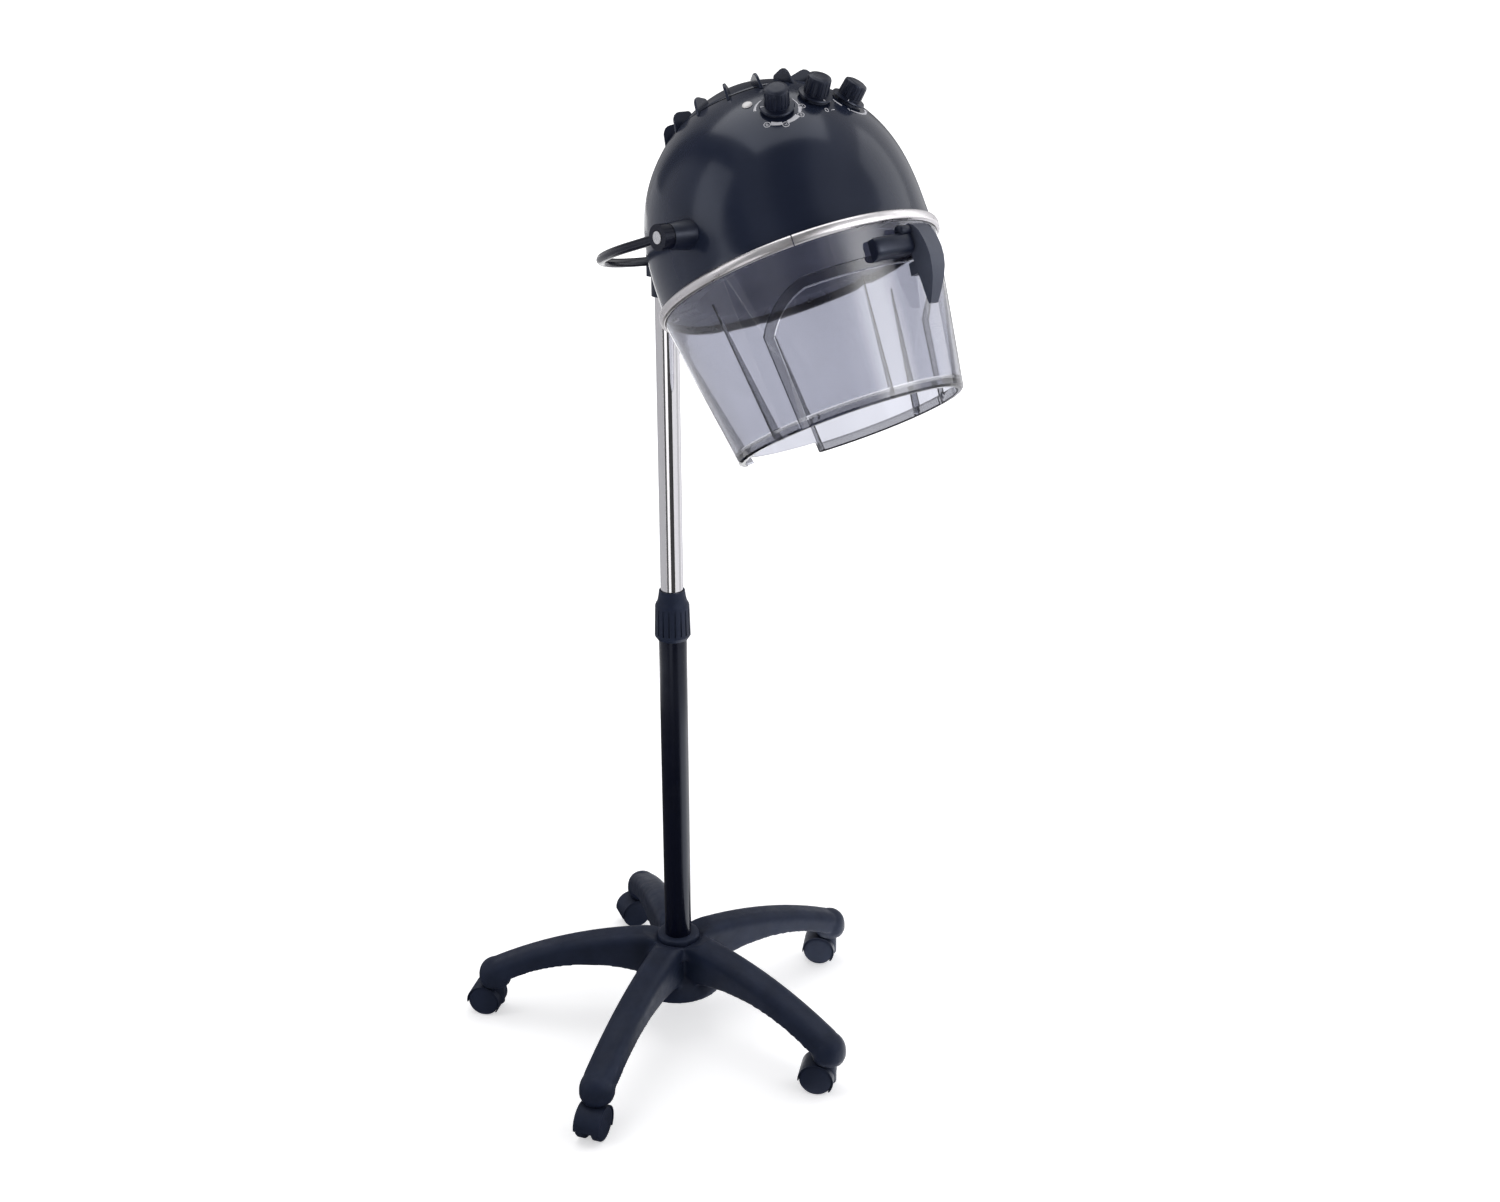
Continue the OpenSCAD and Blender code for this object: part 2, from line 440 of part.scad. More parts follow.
module indicator_lamp() color([0.9, 0.88, 0.85]) hood_frame() at_dome(lamp_az, lamp_t) difference() {
  union() {
    translate([0, 0, -14]) cylinder(r = 4, h = 14);
    translate([0, 0, -2]) rotate_extrude() polygon([[0, 0], [5.2, 0], [5.2, 2.6], [4.2, 3.6], [2, 4.2], [0, 4.3]]);
  }
  difference() {
    translate([0, 0, -3]) cylinder(r = 9, h = 3.2);
    translate([0, 0, -20]) cylinder(r = 4, h = 40);
  }
}
module control_bezels() color([0.05, 0.054, 0.065]) hood_frame() for (i = [0:2]) at_dome(ctl_az[i], ctl_t[i]) difference() {
  translate([0, 0, -2.2]) cylinder(r1 = 15, r2 = 14.2, h = 3.8);
  translate([0, 0, -10]) cylinder(r = 5.3, h = 30);
}
module knob(i, top) color([0.05, 0.054, 0.065]) hood_frame() at_dome(ctl_az[i], ctl_t[i]) difference() {
  union() {
    translate([0, 0, 2]) rotate_extrude() polygon([[0, 0], [16.8, 0], [17.5, 0.8], [16.8, 2], [12.6, 2.6], [12, top - 3.5], [11.3, top - 1.8], [8, top - 0.4], [0, top]]);
    translate([0, 0, -20]) cylinder(r = 3, h = 25);
  }
  for (a = [0:20:340]) rotate([0, 0, a]) translate([12.9, 0, 6]) cylinder(r = 1.3, h = 30);
}

base_star();
base_collar();
base_plug();
base_bolt();
caster_stems();
lower_tube();
guide_bush();
collet();
lock_collar();
mast_tube();
mast_glide();
yoke_bracket();
bracket_cap();
bracket_screws();
yoke();
friction_washers();
at_caster(1) caster_cowl();  // caster_1_cowl
at_caster(1) caster_wheels();  // caster_1_wheels
at_caster(1) caster_axle();  // caster_1_axle
at_caster(2) caster_cowl();  // caster_2_cowl
at_caster(2) caster_wheels();  // caster_2_wheels
at_caster(2) caster_axle();  // caster_2_axle
at_caster(3) caster_cowl();  // caster_3_cowl
at_caster(3) caster_wheels();  // caster_3_wheels
at_caster(3) caster_axle();  // caster_3_axle
at_caster(4) caster_cowl();  // caster_4_cowl
at_caster(4) caster_wheels();  // caster_4_wheels
at_caster(4) caster_axle();  // caster_4_axle
at_caster(5) caster_cowl();  // caster_5_cowl
at_caster(5) caster_wheels();  // caster_5_wheels
at_caster(5) caster_axle();  // caster_5_axle
dome_shell();
vent_cap();
pivot_bosses();
pivot_screws();
trim_ring();
hood_skirt();
diffuser_bowl();
shell_screws();
motor_bracket();
motor();
motor_shaft();
fan_impeller();
heater_frame();
heater_coil();
thermostat();
terminal_block();
cable_gland();
timer_unit();
power_switch();
heat_control();
indicator_lamp();
control_bezels();
knob(0, 22);  // knob_timer
knob(1, 21);  // knob_power
knob(2, 19.5);  // knob_heat
hinge_block();
hinge_pin();
flap();
flap_lever();
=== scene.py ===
import bpy, bmesh, math, json
from mathutils import Vector, Matrix


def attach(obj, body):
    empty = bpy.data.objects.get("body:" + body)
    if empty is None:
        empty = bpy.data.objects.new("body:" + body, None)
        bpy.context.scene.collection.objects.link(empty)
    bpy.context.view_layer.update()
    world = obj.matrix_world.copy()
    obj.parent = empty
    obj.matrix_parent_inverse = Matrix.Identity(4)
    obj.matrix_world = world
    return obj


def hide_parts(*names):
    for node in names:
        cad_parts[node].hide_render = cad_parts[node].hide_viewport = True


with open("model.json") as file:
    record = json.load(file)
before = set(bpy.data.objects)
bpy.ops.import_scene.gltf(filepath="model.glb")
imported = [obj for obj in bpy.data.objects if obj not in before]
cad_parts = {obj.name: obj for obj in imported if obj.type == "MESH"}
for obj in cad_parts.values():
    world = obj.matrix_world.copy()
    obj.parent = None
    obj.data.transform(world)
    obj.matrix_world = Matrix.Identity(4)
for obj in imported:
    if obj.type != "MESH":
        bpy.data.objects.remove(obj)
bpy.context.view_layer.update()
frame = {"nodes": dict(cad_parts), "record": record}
nodes = frame["nodes"]
sc = bpy.context.scene

# ------------------------------------------------------------------ hood frame
TILT = math.radians(29.1)
CEN = Vector((0, -0.220, 1.025))
NRM = Vector((0, math.sin(TILT), math.cos(TILT)))
FRT = Vector((0, -math.cos(TILT), math.sin(TILT)))
HOOD = Matrix.Translation(CEN) @ Matrix.Rotation(-TILT, 4, 'X')


def hp(x, b, h):
    """hood-local millimetres (lateral, front, height) to metres in the row frame"""
    return HOOD @ Vector((x / 1000, -b / 1000, h / 1000))


def pol(az, r, h):
    a = math.radians(az)
    return hp(r * math.sin(a), r * math.cos(a), h)


def egg(t, r=145.8, H=202.0):
    t = math.radians(t)
    return r * math.cos(t) ** 1.282, 14 + (H - 14) * max(math.sin(t), 0) ** 0.735


def elev(t):
    a, b = egg(t - 1), egg(t + 1)
    return math.atan2(a[0] - b[0], b[1] - a[1])


# ------------------------------------------------------------------ materials
def new_mat(name, base, rough, metal=0.0, var=0.08, scale=60.0, rvar=0.08, bump=0.1, bscale=900.0, bdist=0.0002,
            coat=0.0, coat_rough=0.05, spec=0.5, stretch=(1, 1, 1), ior=1.5, trans=0.0, wear=0.0, aniso=0.0, detail=4.0, dust=0.0):
    m = bpy.data.materials.new(name)
    m.use_nodes = True
    nt = m.node_tree
    b = nt.nodes["Principled BSDF"]
    L = nt.links
    N = nt.nodes.new
    tc = N("ShaderNodeTexCoord")
    mp = N("ShaderNodeMapping")
    mp.inputs["Scale"].default_value = stretch
    L.new(tc.outputs["Object"], mp.inputs["Vector"])
    n1 = N("ShaderNodeTexNoise")
    n1.inputs["Scale"].default_value = scale
    n1.inputs["Detail"].default_value = detail
    L.new(mp.outputs["Vector"], n1.inputs["Vector"])
    # colour variation
    cr = N("ShaderNodeValToRGB")
    lo = [max(c * (1 - var), 0) for c in base]
    hi = [min(c * (1 + var), 1) for c in base]
    cr.color_ramp.elements[0].position = 0.3
    cr.color_ramp.elements[1].position = 0.7
    cr.color_ramp.elements[0].color = (*lo, 1)
    cr.color_ramp.elements[1].color = (*hi, 1)
    L.new(n1.outputs["Fac"], cr.inputs["Fac"])
    last = cr.outputs["Color"]
    if dust > 0:
        ge = N("ShaderNodeNewGeometry")
        sx = N("ShaderNodeSeparateXYZ")
        L.new(ge.outputs["Normal"], sx.inputs["Vector"])
        n4 = N("ShaderNodeTexNoise")
        n4.inputs["Scale"].default_value = 25
        n4.inputs["Detail"].default_value = 6
        L.new(tc.outputs["Object"], n4.inputs["Vector"])
        mu = N("ShaderNodeMath")
        mu.operation = 'MULTIPLY'
        L.new(sx.outputs["Z"], mu.inputs[0])
        L.new(n4.outputs["Fac"], mu.inputs[1])
        mr2 = N("ShaderNodeMapRange")
        mr2.inputs["From Min"].default_value = 0.15
        mr2.inputs["From Max"].default_value = 0.7
        mr2.inputs["To Max"].default_value = dust
        L.new(mu.outputs["Value"], mr2.inputs["Value"])
        mx = N("ShaderNodeMix")
        mx.data_type = 'RGBA'
        mx.inputs["B"].default_value = (0.35, 0.36, 0.4, 1)
        L.new(mr2.outputs["Result"], mx.inputs["Factor"])
        L.new(last, mx.inputs["A"])
        last = mx.outputs["Result"]
    if wear > 0:
        ge = N("ShaderNodeNewGeometry")
        w = N("ShaderNodeMapRange")
        w.inputs["From Min"].default_value = 0.53
        w.inputs["From Max"].default_value = 0.62
        w.inputs["To Max"].default_value = wear
        L.new(ge.outputs["Pointiness"], w.inputs["Value"])
        mx = N("ShaderNodeMix")
        mx.data_type = 'RGBA'
        mx.inputs["B"].default_value = (*[min(c * 2.5 + 0.06, 1) for c in base], 1)
        L.new(w.outputs["Result"], mx.inputs["Factor"])
        L.new(last, mx.inputs["A"])
        last = mx.outputs["Result"]
    L.new(last, b.inputs["Base Color"])
    # roughness variation
    n2 = N("ShaderNodeTexNoise")
    n2.inputs["Scale"].default_value = scale * 2.3
    n2.inputs["Detail"].default_value = 5
    L.new(mp.outputs["Vector"], n2.inputs["Vector"])
    mr = N("ShaderNodeMapRange")
    mr.inputs["From Min"].default_value = 0.3
    mr.inputs["From Max"].default_value = 0.7
    mr.inputs["To Min"].default_value = max(rough - rvar, 0.01)
    mr.inputs["To Max"].default_value = min(rough + rvar, 1)
    L.new(n2.outputs["Fac"], mr.inputs["Value"])
    L.new(mr.outputs["Result"], b.inputs["Roughness"])
    # relief
    n3 = N("ShaderNodeTexNoise")
    n3.inputs["Scale"].default_value = bscale
    n3.inputs["Detail"].default_value = 3
    L.new(mp.outputs["Vector"], n3.inputs["Vector"])
    bp = N("ShaderNodeBump")
    bp.inputs["Strength"].default_value = bump
    bp.inputs["Distance"].default_value = bdist
    L.new(n3.outputs["Fac"], bp.inputs["Height"])
    L.new(bp.outputs["Normal"], b.inputs["Normal"])
    b.inputs["Metallic"].default_value = metal
    b.inputs["Coat Weight"].default_value = coat
    b.inputs["Coat Roughness"].default_value = coat_rough
    b.inputs["Specular IOR Level"].default_value = spec
    b.inputs["IOR"].default_value = ior
    b.inputs["Anisotropic"].default_value = aniso
    b.inputs["Transmission Weight"].default_value = trans
    return m


M = {
    "base_plastic": new_mat("base_plastic", (0.0100, 0.0150, 0.0330), 0.5, var=0.18, scale=35, rvar=0.07, bump=0.45, bscale=1500, bdist=0.0003, spec=0.2, dust=0.03),
    "black_enamel": new_mat("black_enamel", (0.0024, 0.0032, 0.0095), 0.2, var=0.1, scale=20, rvar=0.05, bump=0.08, bscale=260, bdist=0.0002, spec=0.26),
    "black_gloss": new_mat("black_gloss", (0.0115, 0.0155, 0.031), 0.19, var=0.12, scale=14, rvar=0.03, bump=0.05, bscale=140, bdist=0.0003, coat=0.08, coat_rough=0.12, spec=0.3),
    "black_satin": new_mat("black_satin", (0.0065, 0.0088, 0.0195), 0.34, var=0.14, scale=50, rvar=0.06, bump=0.25, bscale=1400, bdist=0.00015, spec=0.32),
    "grey_plastic": new_mat("grey_plastic", (0.043, 0.049, 0.072), 0.4, var=0.08, scale=40, rvar=0.05, bump=0.2, bscale=1300, bdist=0.00015, spec=0.4),
    "chrome": new_mat("chrome", (0.74, 0.73, 0.74), 0.06, metal=1.0, var=0.03, scale=30, rvar=0.025, bump=0.05, bscale=300, bdist=0.0001, stretch=(1, 1, 0.05)),
    "steel": new_mat("steel", (0.62, 0.62, 0.64), 0.28, metal=1.0, var=0.06, scale=120, rvar=0.08, bump=0.1, bscale=1500, bdist=0.0001),
    "trim": new_mat("trim", (0.66, 0.64, 0.65), 0.31, metal=1.0, var=0.06, scale=40, rvar=0.06, bump=0.15, bscale=700, bdist=0.00012, aniso=0.3),
    "nylon": new_mat("nylon", (0.70, 0.70, 0.66), 0.4, var=0.03, scale=40, bump=0.1, bscale=900),
    "bowl_grey": new_mat("bowl_grey", (0.21, 0.22, 0.29), 0.4, var=0.08, scale=40, rvar=0.06, bump=0.2, bscale=1200),
    "mica": new_mat("mica", (0.50, 0.42, 0.28), 0.35, var=0.2, scale=160, bump=0.2, bscale=500),
    "coil": new_mat("coil", (0.40, 0.33, 0.28), 0.35, metal=1.0, var=0.2, scale=200, bump=0.1, bscale=1500),
    "rubber": new_mat("rubber", (0.018, 0.018, 0.02), 0.6, var=0.1, scale=60, bump=0.2, bscale=1000),
    "lamp": new_mat("lamp", (0.72, 0.70, 0.70), 0.2, var=0.04, scale=200, bump=0.1, bscale=600, coat=0.4),
    "print_white": new_mat("print_white", (0.62, 0.62, 0.66), 0.45, var=0.05, scale=400, bump=0.05, bscale=2000, bdist=0.00005, spec=0.2),
}


def smoke(name, tint, rough=0.035, wave=0.5):
    m = bpy.data.materials.new(name)
    m.use_nodes = True
    nt = m.node_tree
    b = nt.nodes["Principled BSDF"]
    L = nt.links
    N = nt.nodes.new
    tc = N("ShaderNodeTexCoord")
    n1 = N("ShaderNodeTexNoise")
    n1.inputs["Scale"].default_value = 9
    n1.inputs["Detail"].default_value = 2
    mp = N("ShaderNodeMapping")
    mp.inputs["Scale"].default_value = (1, 1, 0.35)
    L.new(tc.outputs["Object"], mp.inputs["Vector"])
    L.new(mp.outputs["Vector"], n1.inputs["Vector"])
    cr = N("ShaderNodeValToRGB")
    cr.color_ramp.elements[0].position = 0.3
    cr.color_ramp.elements[1].position = 0.7
    cr.color_ramp.elements[0].color = (*[c * 0.96 for c in tint], 1)
    cr.color_ramp.elements[1].color = (*[min(c * 1.03, 1) for c in tint], 1)
    L.new(n1.outputs["Fac"], cr.inputs["Fac"])
    L.new(cr.outputs["Color"], b.inputs["Base Color"])
    n2 = N("ShaderNodeTexNoise")
    n2.inputs["Scale"].default_value = 500
    mr = N("ShaderNodeMapRange")
    mr.inputs["To Min"].default_value = rough * 0.6
    mr.inputs["To Max"].default_value = rough * 1.6
    L.new(tc.outputs["Object"], n2.inputs["Vector"])
    L.new(n2.outputs["Fac"], mr.inputs["Value"])
    L.new(mr.outputs["Result"], b.inputs["Roughness"])
    bp = N("ShaderNodeBump")
    bp.inputs["Strength"].default_value = wave
    bp.inputs["Distance"].default_value = 0.0012
    n3 = N("ShaderNodeTexNoise")
    n3.inputs["Scale"].default_value = 14
    n3.inputs["Detail"].default_value = 1.5
    L.new(mp.outputs["Vector"], n3.inputs["Vector"])
    L.new(n3.outputs["Fac"], bp.inputs["Height"])
    L.new(bp.outputs["Normal"], b.inputs["Normal"])
    b.inputs["Transmission Weight"].default_value = 1.0
    b.inputs["IOR"].default_value = 1.49
    return m


M["smoke_clear"] = smoke("smoke_clear", (0.525, 0.533, 0.588))
for k_ in ("black_gloss", "base_plastic", "black_satin", "black_enamel", "grey_plastic", "bowl_grey"):
    M[k_].node_tree.nodes["Principled BSDF"].inputs["Specular Tint"].default_value = (0.78, 0.84, 1.0, 1.0)


# painted shade: dark, partly see-through sheets that stand in for the darkness seen along the edges, ribs and rims of
# the clear plastic
def painted_shade_sheet(name, alpha):
    m = new_mat(name, (0.018, 0.02, 0.042), 0.3, var=0.2, scale=60, rvar=0.05, bump=0.1, bscale=300, spec=0.2)
    m.node_tree.nodes["Principled BSDF"].inputs["Alpha"].default_value = alpha
    return m


M["painted_shade_edge"] = painted_shade_sheet("painted_shade_edge", 0.30)
M["painted_shade_line"] = painted_shade_sheet("painted_shade_line", 0.55)
SLOT = {s["node"]: s["material_slot"] for s in frame["record"]["subparts"]}
for n, o in nodes.items():
    m = M[SLOT[n]]
    o.data.materials.clear()
    o.data.materials.append(m)
    if "custom_normal" in o.data.attributes:
        o.data.attributes.remove(o.data.attributes["custom_normal"])
    for pl in o.data.polygons:
        pl.use_smooth = True
    wd = o.modifiers.new("weld", 'WELD')
    wd.merge_threshold = 0.00001
    es = o.modifiers.new("creases", 'EDGE_SPLIT')
    es.split_angle = math.radians(31)
    es.use_edge_sharp = False

# ------------------------------------------------------------------ helpers
BODY = {n: b for b, ns in frame["record"]["behaviour"]["bodies"].items() for n in ns}


def add(name, verts, faces, mat, body, smooth=True, angle=35):
    me = bpy.data.meshes.new(name)
    me.from_pydata([tuple(v) for v in verts], [], faces)
    me.validate()
    o = bpy.data.objects.new(name, me)
    sc.collection.objects.link(o)
    me.materials.append(mat)
    if smooth:
        for p in me.polygons:
            p.use_smooth = True
        me.set_sharp_from_angle(angle=math.radians(angle))
    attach(o, body)
    return o


# ------------------------------------------------------------------ moulded star with blended arm roots
star_src = nodes["base_star"]
me = star_src.data.copy()
me.name = "star_moulding"
star = bpy.data.objects.new("star_moulding", me)
star.matrix_world = star_src.matrix_world.copy()
sc.collection.objects.link(star)
bm = bmesh.new()
bm.from_mesh(me)
bmesh.ops.remove_doubles(bm, verts=bm.verts, dist=0.00001)
# webs between the arm roots
WEB = [(27, 58), (27, 86), (36, 84.5), (46, 79), (54, 71), (59, 63), (60, 58)]
rows = []
for i in range(72):
    a = 2 * math.pi * i / 72
    rows.append([bm.verts.new((r_ * math.cos(a) / 1000, r_ * math.sin(a) / 1000, h_ / 1000)) for r_, h_ in WEB])
for i in range(72):
    ra, rb = rows[i], rows[(i + 1) % 72]
    for k in range(len(WEB)):
        k2 = (k + 1) % len(WEB)
        bm.faces.new((ra[k], rb[k], rb[k2], ra[k2]))
bm.to_mesh(me)
bm.free()
rm = star.modifiers.new("remesh", 'REMESH')
rm.mode = 'VOXEL'
rm.voxel_size = 0.0019
rm.use_smooth_shade = True
sm = star.modifiers.new("soften", 'SMOOTH')
sm.factor = 0.5
sm.iterations = 9
dg = bpy.context.evaluated_depsgraph_get()
dg.update()
me2 = bpy.data.meshes.new_from_object(star.evaluated_get(dg))
star.modifiers.clear()
me2.name = "star_moulding_mesh"
star.data = me2
me2.materials.clear()
me2.materials.append(M["base_plastic"])
# clamp to the CAD part's bounding box, so the outer size stays as it is in CAD
src = star_src.data
lo_ = [min((star_src.matrix_world @ v.co)[k] for v in src.vertices) for k in range(3)]
hi_ = [max((star_src.matrix_world @ v.co)[k] for v in src.vertices) for k in range(3)]
mw, mi = star.matrix_world, star.matrix_world.inverted()
for v in me2.vertices:
    q = mw @ v.co
    q = Vector([min(max(q[k], lo_[k]), hi_[k]) for k in range(3)])
    v.co = mi @ q
for pl in me2.polygons:
    pl.use_smooth = True
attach(star, "base")
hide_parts("base_star")

# ------------------------------------------------------------------ dome, air-intake cap, diffuser
def revolve(prof, n=192):
    """closed profile [(r, h)] turned about the hood axis"""
    v, f = [], []
    m = len(prof)
    for i in range(n):
        az = 360 * i / n
        v += [pol(az, r, h) for r, h in prof]
    for i in range(n):
        a, b = i * m, ((i + 1) % n) * m
        for k in range(m):
            k2 = (k + 1) % m
            f.append((a + k, a + k2, b + k2, b + k))
    return v, f


def dome_profile(off, t0, t1, n):
    return [egg(t0 + (t1 - t0) * i / n, 145.8 - off, 202.0 - off) for i in range(n + 1)]


T_OPEN, T_CAP = 49.4, 52.1
outer = [(146.72, 0.05), (146.5, 1.2), (146.2, 4.5), (145.9, 9.5)] + dome_profile(0.03, 1.2, T_OPEN, 70)
inner = dome_profile(2.97, T_OPEN, 1.2, 50) + [(143.1, 9.5), (143.6, 4.5), (143.8, 0.05)]
v, f = revolve(outer + inner, 224)
dome = add("dome", v, f, M["black_gloss"], "hood", angle=38)
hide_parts("dome_shell")

# the cap follows the dome; its edge is rolled
co_ = dome_profile(0.03, T_CAP + 0.4, 90, 40)
ci_ = dome_profile(2.57, 89.6, T_CAP + 0.4, 40)
prof = [(78.9, 170.2)] + co_[:-1] + [(0.4, 201.95), (0.4, 199.4)] + ci_[1:] + [(77.0, 169.4)]
v, f = revolve(prof, 160)
cap = add("intake_cap", v, f, M["black_gloss"], "hood", angle=38)
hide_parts("vent_cap")
FIN = [(64, 177.6), (65.2, 182.2), (67, 183.5), (78.5, 183.55), (82, 183.0), (84.6, 181.4), (86.7, 178.6), (87.9, 176), (90.5, 162.6), (84.4, 167.0), (81, 166.8), (76.5, 171.6), (70, 175)]
for i in range(16):
    az = math.radians(-5 + 22.5 * i)
    d = Vector((math.sin(az), math.cos(az)))
    q = Vector((math.cos(az), -math.sin(az)))
    bm = bmesh.new()
    rows = []
    for sgn in (-1, 1):
        rows.append([bm.verts.new(hp(d.x * r + q.x * 1.48 * sgn, d.y * r + q.y * 1.48 * sgn, h)) for r, h in FIN])
    n = len(FIN)
    for k in range(n):
        bm.faces.new((rows[0][k], rows[0][(k + 1) % n], rows[1][(k + 1) % n], rows[1][k]))
    bm.faces.new(rows[0][::-1])
    bm.faces.new(rows[1])
    bmesh.ops.recalc_face_normals(bm, faces=bm.faces)
    me = bpy.data.meshes.new(f"intake_fin_{i + 1}")
    bm.to_mesh(me)
    bm.free()
    o = bpy.data.objects.new(f"intake_fin_{i + 1}", me)
    sc.collection.objects.link(o)
    me.materials.append(M["black_gloss"])
    bv = o.modifiers.new("edges", 'BEVEL')
    bv.width = 0.0006
    bv.segments = 3
    bv.limit_method = 'ANGLE'
    for pl in me.polygons:
        pl.use_smooth = True
    wn = o.modifiers.new("normals", 'WEIGHTED_NORMAL')
    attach(o, "hood")

# diffuser: ribbed ring and concave bowl in one moulding
low = [(143.1, -0.1)]
r = 112.0
up = [(112 * math.cos(math.radians(a)), 96.9 * math.sin(math.radians(a))) for a in range(0, 89, 3)] + [(0.5, 96.9)]
down = [(0.5, 94.4)] + [(109.6 * math.cos(math.radians(a)), -2.5 + 96.8 * math.sin(math.radians(a))) for a in range(88, 1, -3)]
ring = []
x = 110.6
while x < 141.5:
    ring += [(x, -1.2), (x + 0.35, -2.45), (x + 1.25, -2.45), (x + 1.6, -1.2)]
    x += 3.3
prof = low + up + down + ring + [(143.1, -2.4)]
v, f = revolve(prof, 160)
bowl = add("air_diffuser", v, f, M["bowl_grey"], "hood", angle=28)
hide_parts("diffuser_bowl")
for k in range(24):
    az = 360 * k / 24 + 7.5
    a = math.radians(az)
    q = Vector((math.cos(a), -math.sin(a)))
    d = Vector((math.sin(a), math.cos(a)))
    vs = []
    for (r0, h0) in ((110.5, -1.0), (142.6, -1.0), (142.6, -2.7), (110.5, -2.7)):
        for sg in (-0.7, 0.7):
            vs.append(hp(d.x * r0 + q.x * sg, d.y * r0 + q.y * sg, h0))
    fs = [(0, 2, 4, 6), (1, 7, 5, 3), (0, 1, 3, 2), (2, 3, 5, 4), (4, 5, 7, 6), (6, 7, 1, 0)]
    add(f"diffuser_rib_{k + 1}", vs, fs, M["bowl_grey"], "hood", smooth=False)

# ------------------------------------------------------------------ dark sheets of painted shade along the steps, ribs and rims of the clear skirt and flap
FLAP_AZ = 7.5


def skirt_r(h):
    return 148 + (121.5 - 148) * (-h - 9) / 163


def sheet_strip(name, rows, mat, body):
    """closed thin strip; rows = [(p_outer_a, p_outer_b, p_inner_a, p_inner_b)] along its length"""
    v, f = [], []
    for a, b, c, d in rows:
        v += [a, b, d, c]
    n = len(rows)
    for i in range(n - 1):
        q, w_ = 4 * i, 4 * i + 4
        for k in range(4):
            f.append((q + k, q + (k + 1) % 4, w_ + (k + 1) % 4, w_ + k))
    f.append((3, 2, 1, 0))
    e = 4 * (n - 1)
    f.append((e, e + 1, e + 2, e + 3))
    o = add(name, v, f, mat, body)
    bm = bmesh.new()
    bm.from_mesh(o.data)
    bmesh.ops.recalc_face_normals(bm, faces=bm.faces)
    bm.to_mesh(o.data)
    bm.free()
    return o


def opening_edge(m):
    """outline of the stepped band round the front opening, as (azimuth, height), left foot to right foot"""
    h, top, R = 73.5 - 0.4 * m, -38.5 - m, 77.3 - m
    left = []

    def arc_h(a):
        z = -80.0
        for _ in range(12):
            y = skirt_r(z) * math.sin(math.radians(a - 43.5))
            z = min(top, -113.5 + math.sqrt(max(R * R - y * y, 0)))
        return z
    za = arc_h(h)
    for k in range(9):
        left.append((-h, -171.2 + (za + 171.2) * k / 9))
    for k in range(25):
        a = h - (h - 43.5) * k / 24
        left.append((-a, arc_h(a)))
    topline = [(-43.5 + 87 * k / 20, top) for k in range(1, 20)]
    return left + topline + [(-a, z) for a, z in reversed(left)]


# painted shade: dark sheets that follow the step round the front opening
eo, ei = opening_edge(0.6), opening_edge(9.4)
rows = []
for (a0, h0), (a1, h1) in zip(eo, ei):
    rows.append((pol(FLAP_AZ + a0, skirt_r(h0) - 1.5, h0), pol(FLAP_AZ + a1, skirt_r(h1) - 1.5, h1),
                 pol(FLAP_AZ + a0, skirt_r(h0) - 2.2, h0), pol(FLAP_AZ + a1, skirt_r(h1) - 2.2, h1)))
sheet_strip("opening_step", rows, M["painted_shade_edge"], "hood")
# painted shade: a darker line along the step's edge
e1 = opening_edge(-0.2)
rows = []
for (a0, h0), (a1, h1) in zip(e1, opening_edge(0.5)):
    rows.append((pol(FLAP_AZ + a0, skirt_r(h0) - 0.5, h0), pol(FLAP_AZ + a1, skirt_r(h1) - 0.5, h1),
                 pol(FLAP_AZ + a0, skirt_r(h0) - 2.4, h0), pol(FLAP_AZ + a1, skirt_r(h1) - 2.4, h1)))
sheet_strip("opening_step_edge", rows, M["painted_shade_line"], "hood")


# painted shade: a dark sheet inside each rib and a darker line at its root
def rib_shade_sheet(name, az, h0, h1, depth, body):
    rows_, rows2 = [], []
    d = math.radians(az)
    q = Vector((math.cos(d), -math.sin(d)))
    for k in range(13):
        u = k / 12
        h = h0 + (h1 - h0) * u
        r0 = skirt_r(h) - 2.0
        r1 = skirt_r(h) - 2.8 - (depth - 0.6) * u
        P = lambda r, w: hp(r * math.sin(d) + q.x * w, r * math.cos(d) + q.y * w, h)
        rows_.append((P(r0, -0.35), P(r1, -0.35), P(r0, 0.35), P(r1, 0.35)))
        rows2.append((P(r0 + 1.2, -0.75), P(r0, -0.75), P(r0 + 1.2, 0.75), P(r0, 0.75)))
    sheet_strip(name, rows_, M["painted_shade_edge"], body)
    sheet_strip(name + "_root", rows2, M["painted_shade_line"], body)


for i, a in enumerate((-148, -89, 89, 148)):
    rib_shade_sheet(f"skirt_rib_{i + 1}", FLAP_AZ + a, -28, -169, 11, "hood")
for i, a in enumerate((-27.5, 27.5)):
    rib_shade_sheet(f"flap_rib_{i + 1}", FLAP_AZ + a, -57, -169, 7, "flap_body")


# painted shade: a dark sheet along the rolled rim
def lip(name, a0, a1, body, n=40):
    rows_ = []
    for k in range(n + 1):
        a = a0 + (a1 - a0) * k / n
        rows_.append((pol(a, skirt_r(-170.6) - 0.8, -170.6), pol(a, skirt_r(-162.5) - 1.0, -162.5),
                      pol(a, skirt_r(-170.6) - 1.5, -170.6), pol(a, skirt_r(-162.5) - 1.7, -162.5)))
    sheet_strip(name, rows_, M["painted_shade_edge"], body)


lip("rim_left", FLAP_AZ + 74.2, FLAP_AZ + 148.5, "hood")
lip("rim_right", FLAP_AZ - 148.5, FLAP_AZ - 74.2, "hood")
lip("flap_rim", FLAP_AZ - 68.4, FLAP_AZ + 68.4, "flap_body", 60)


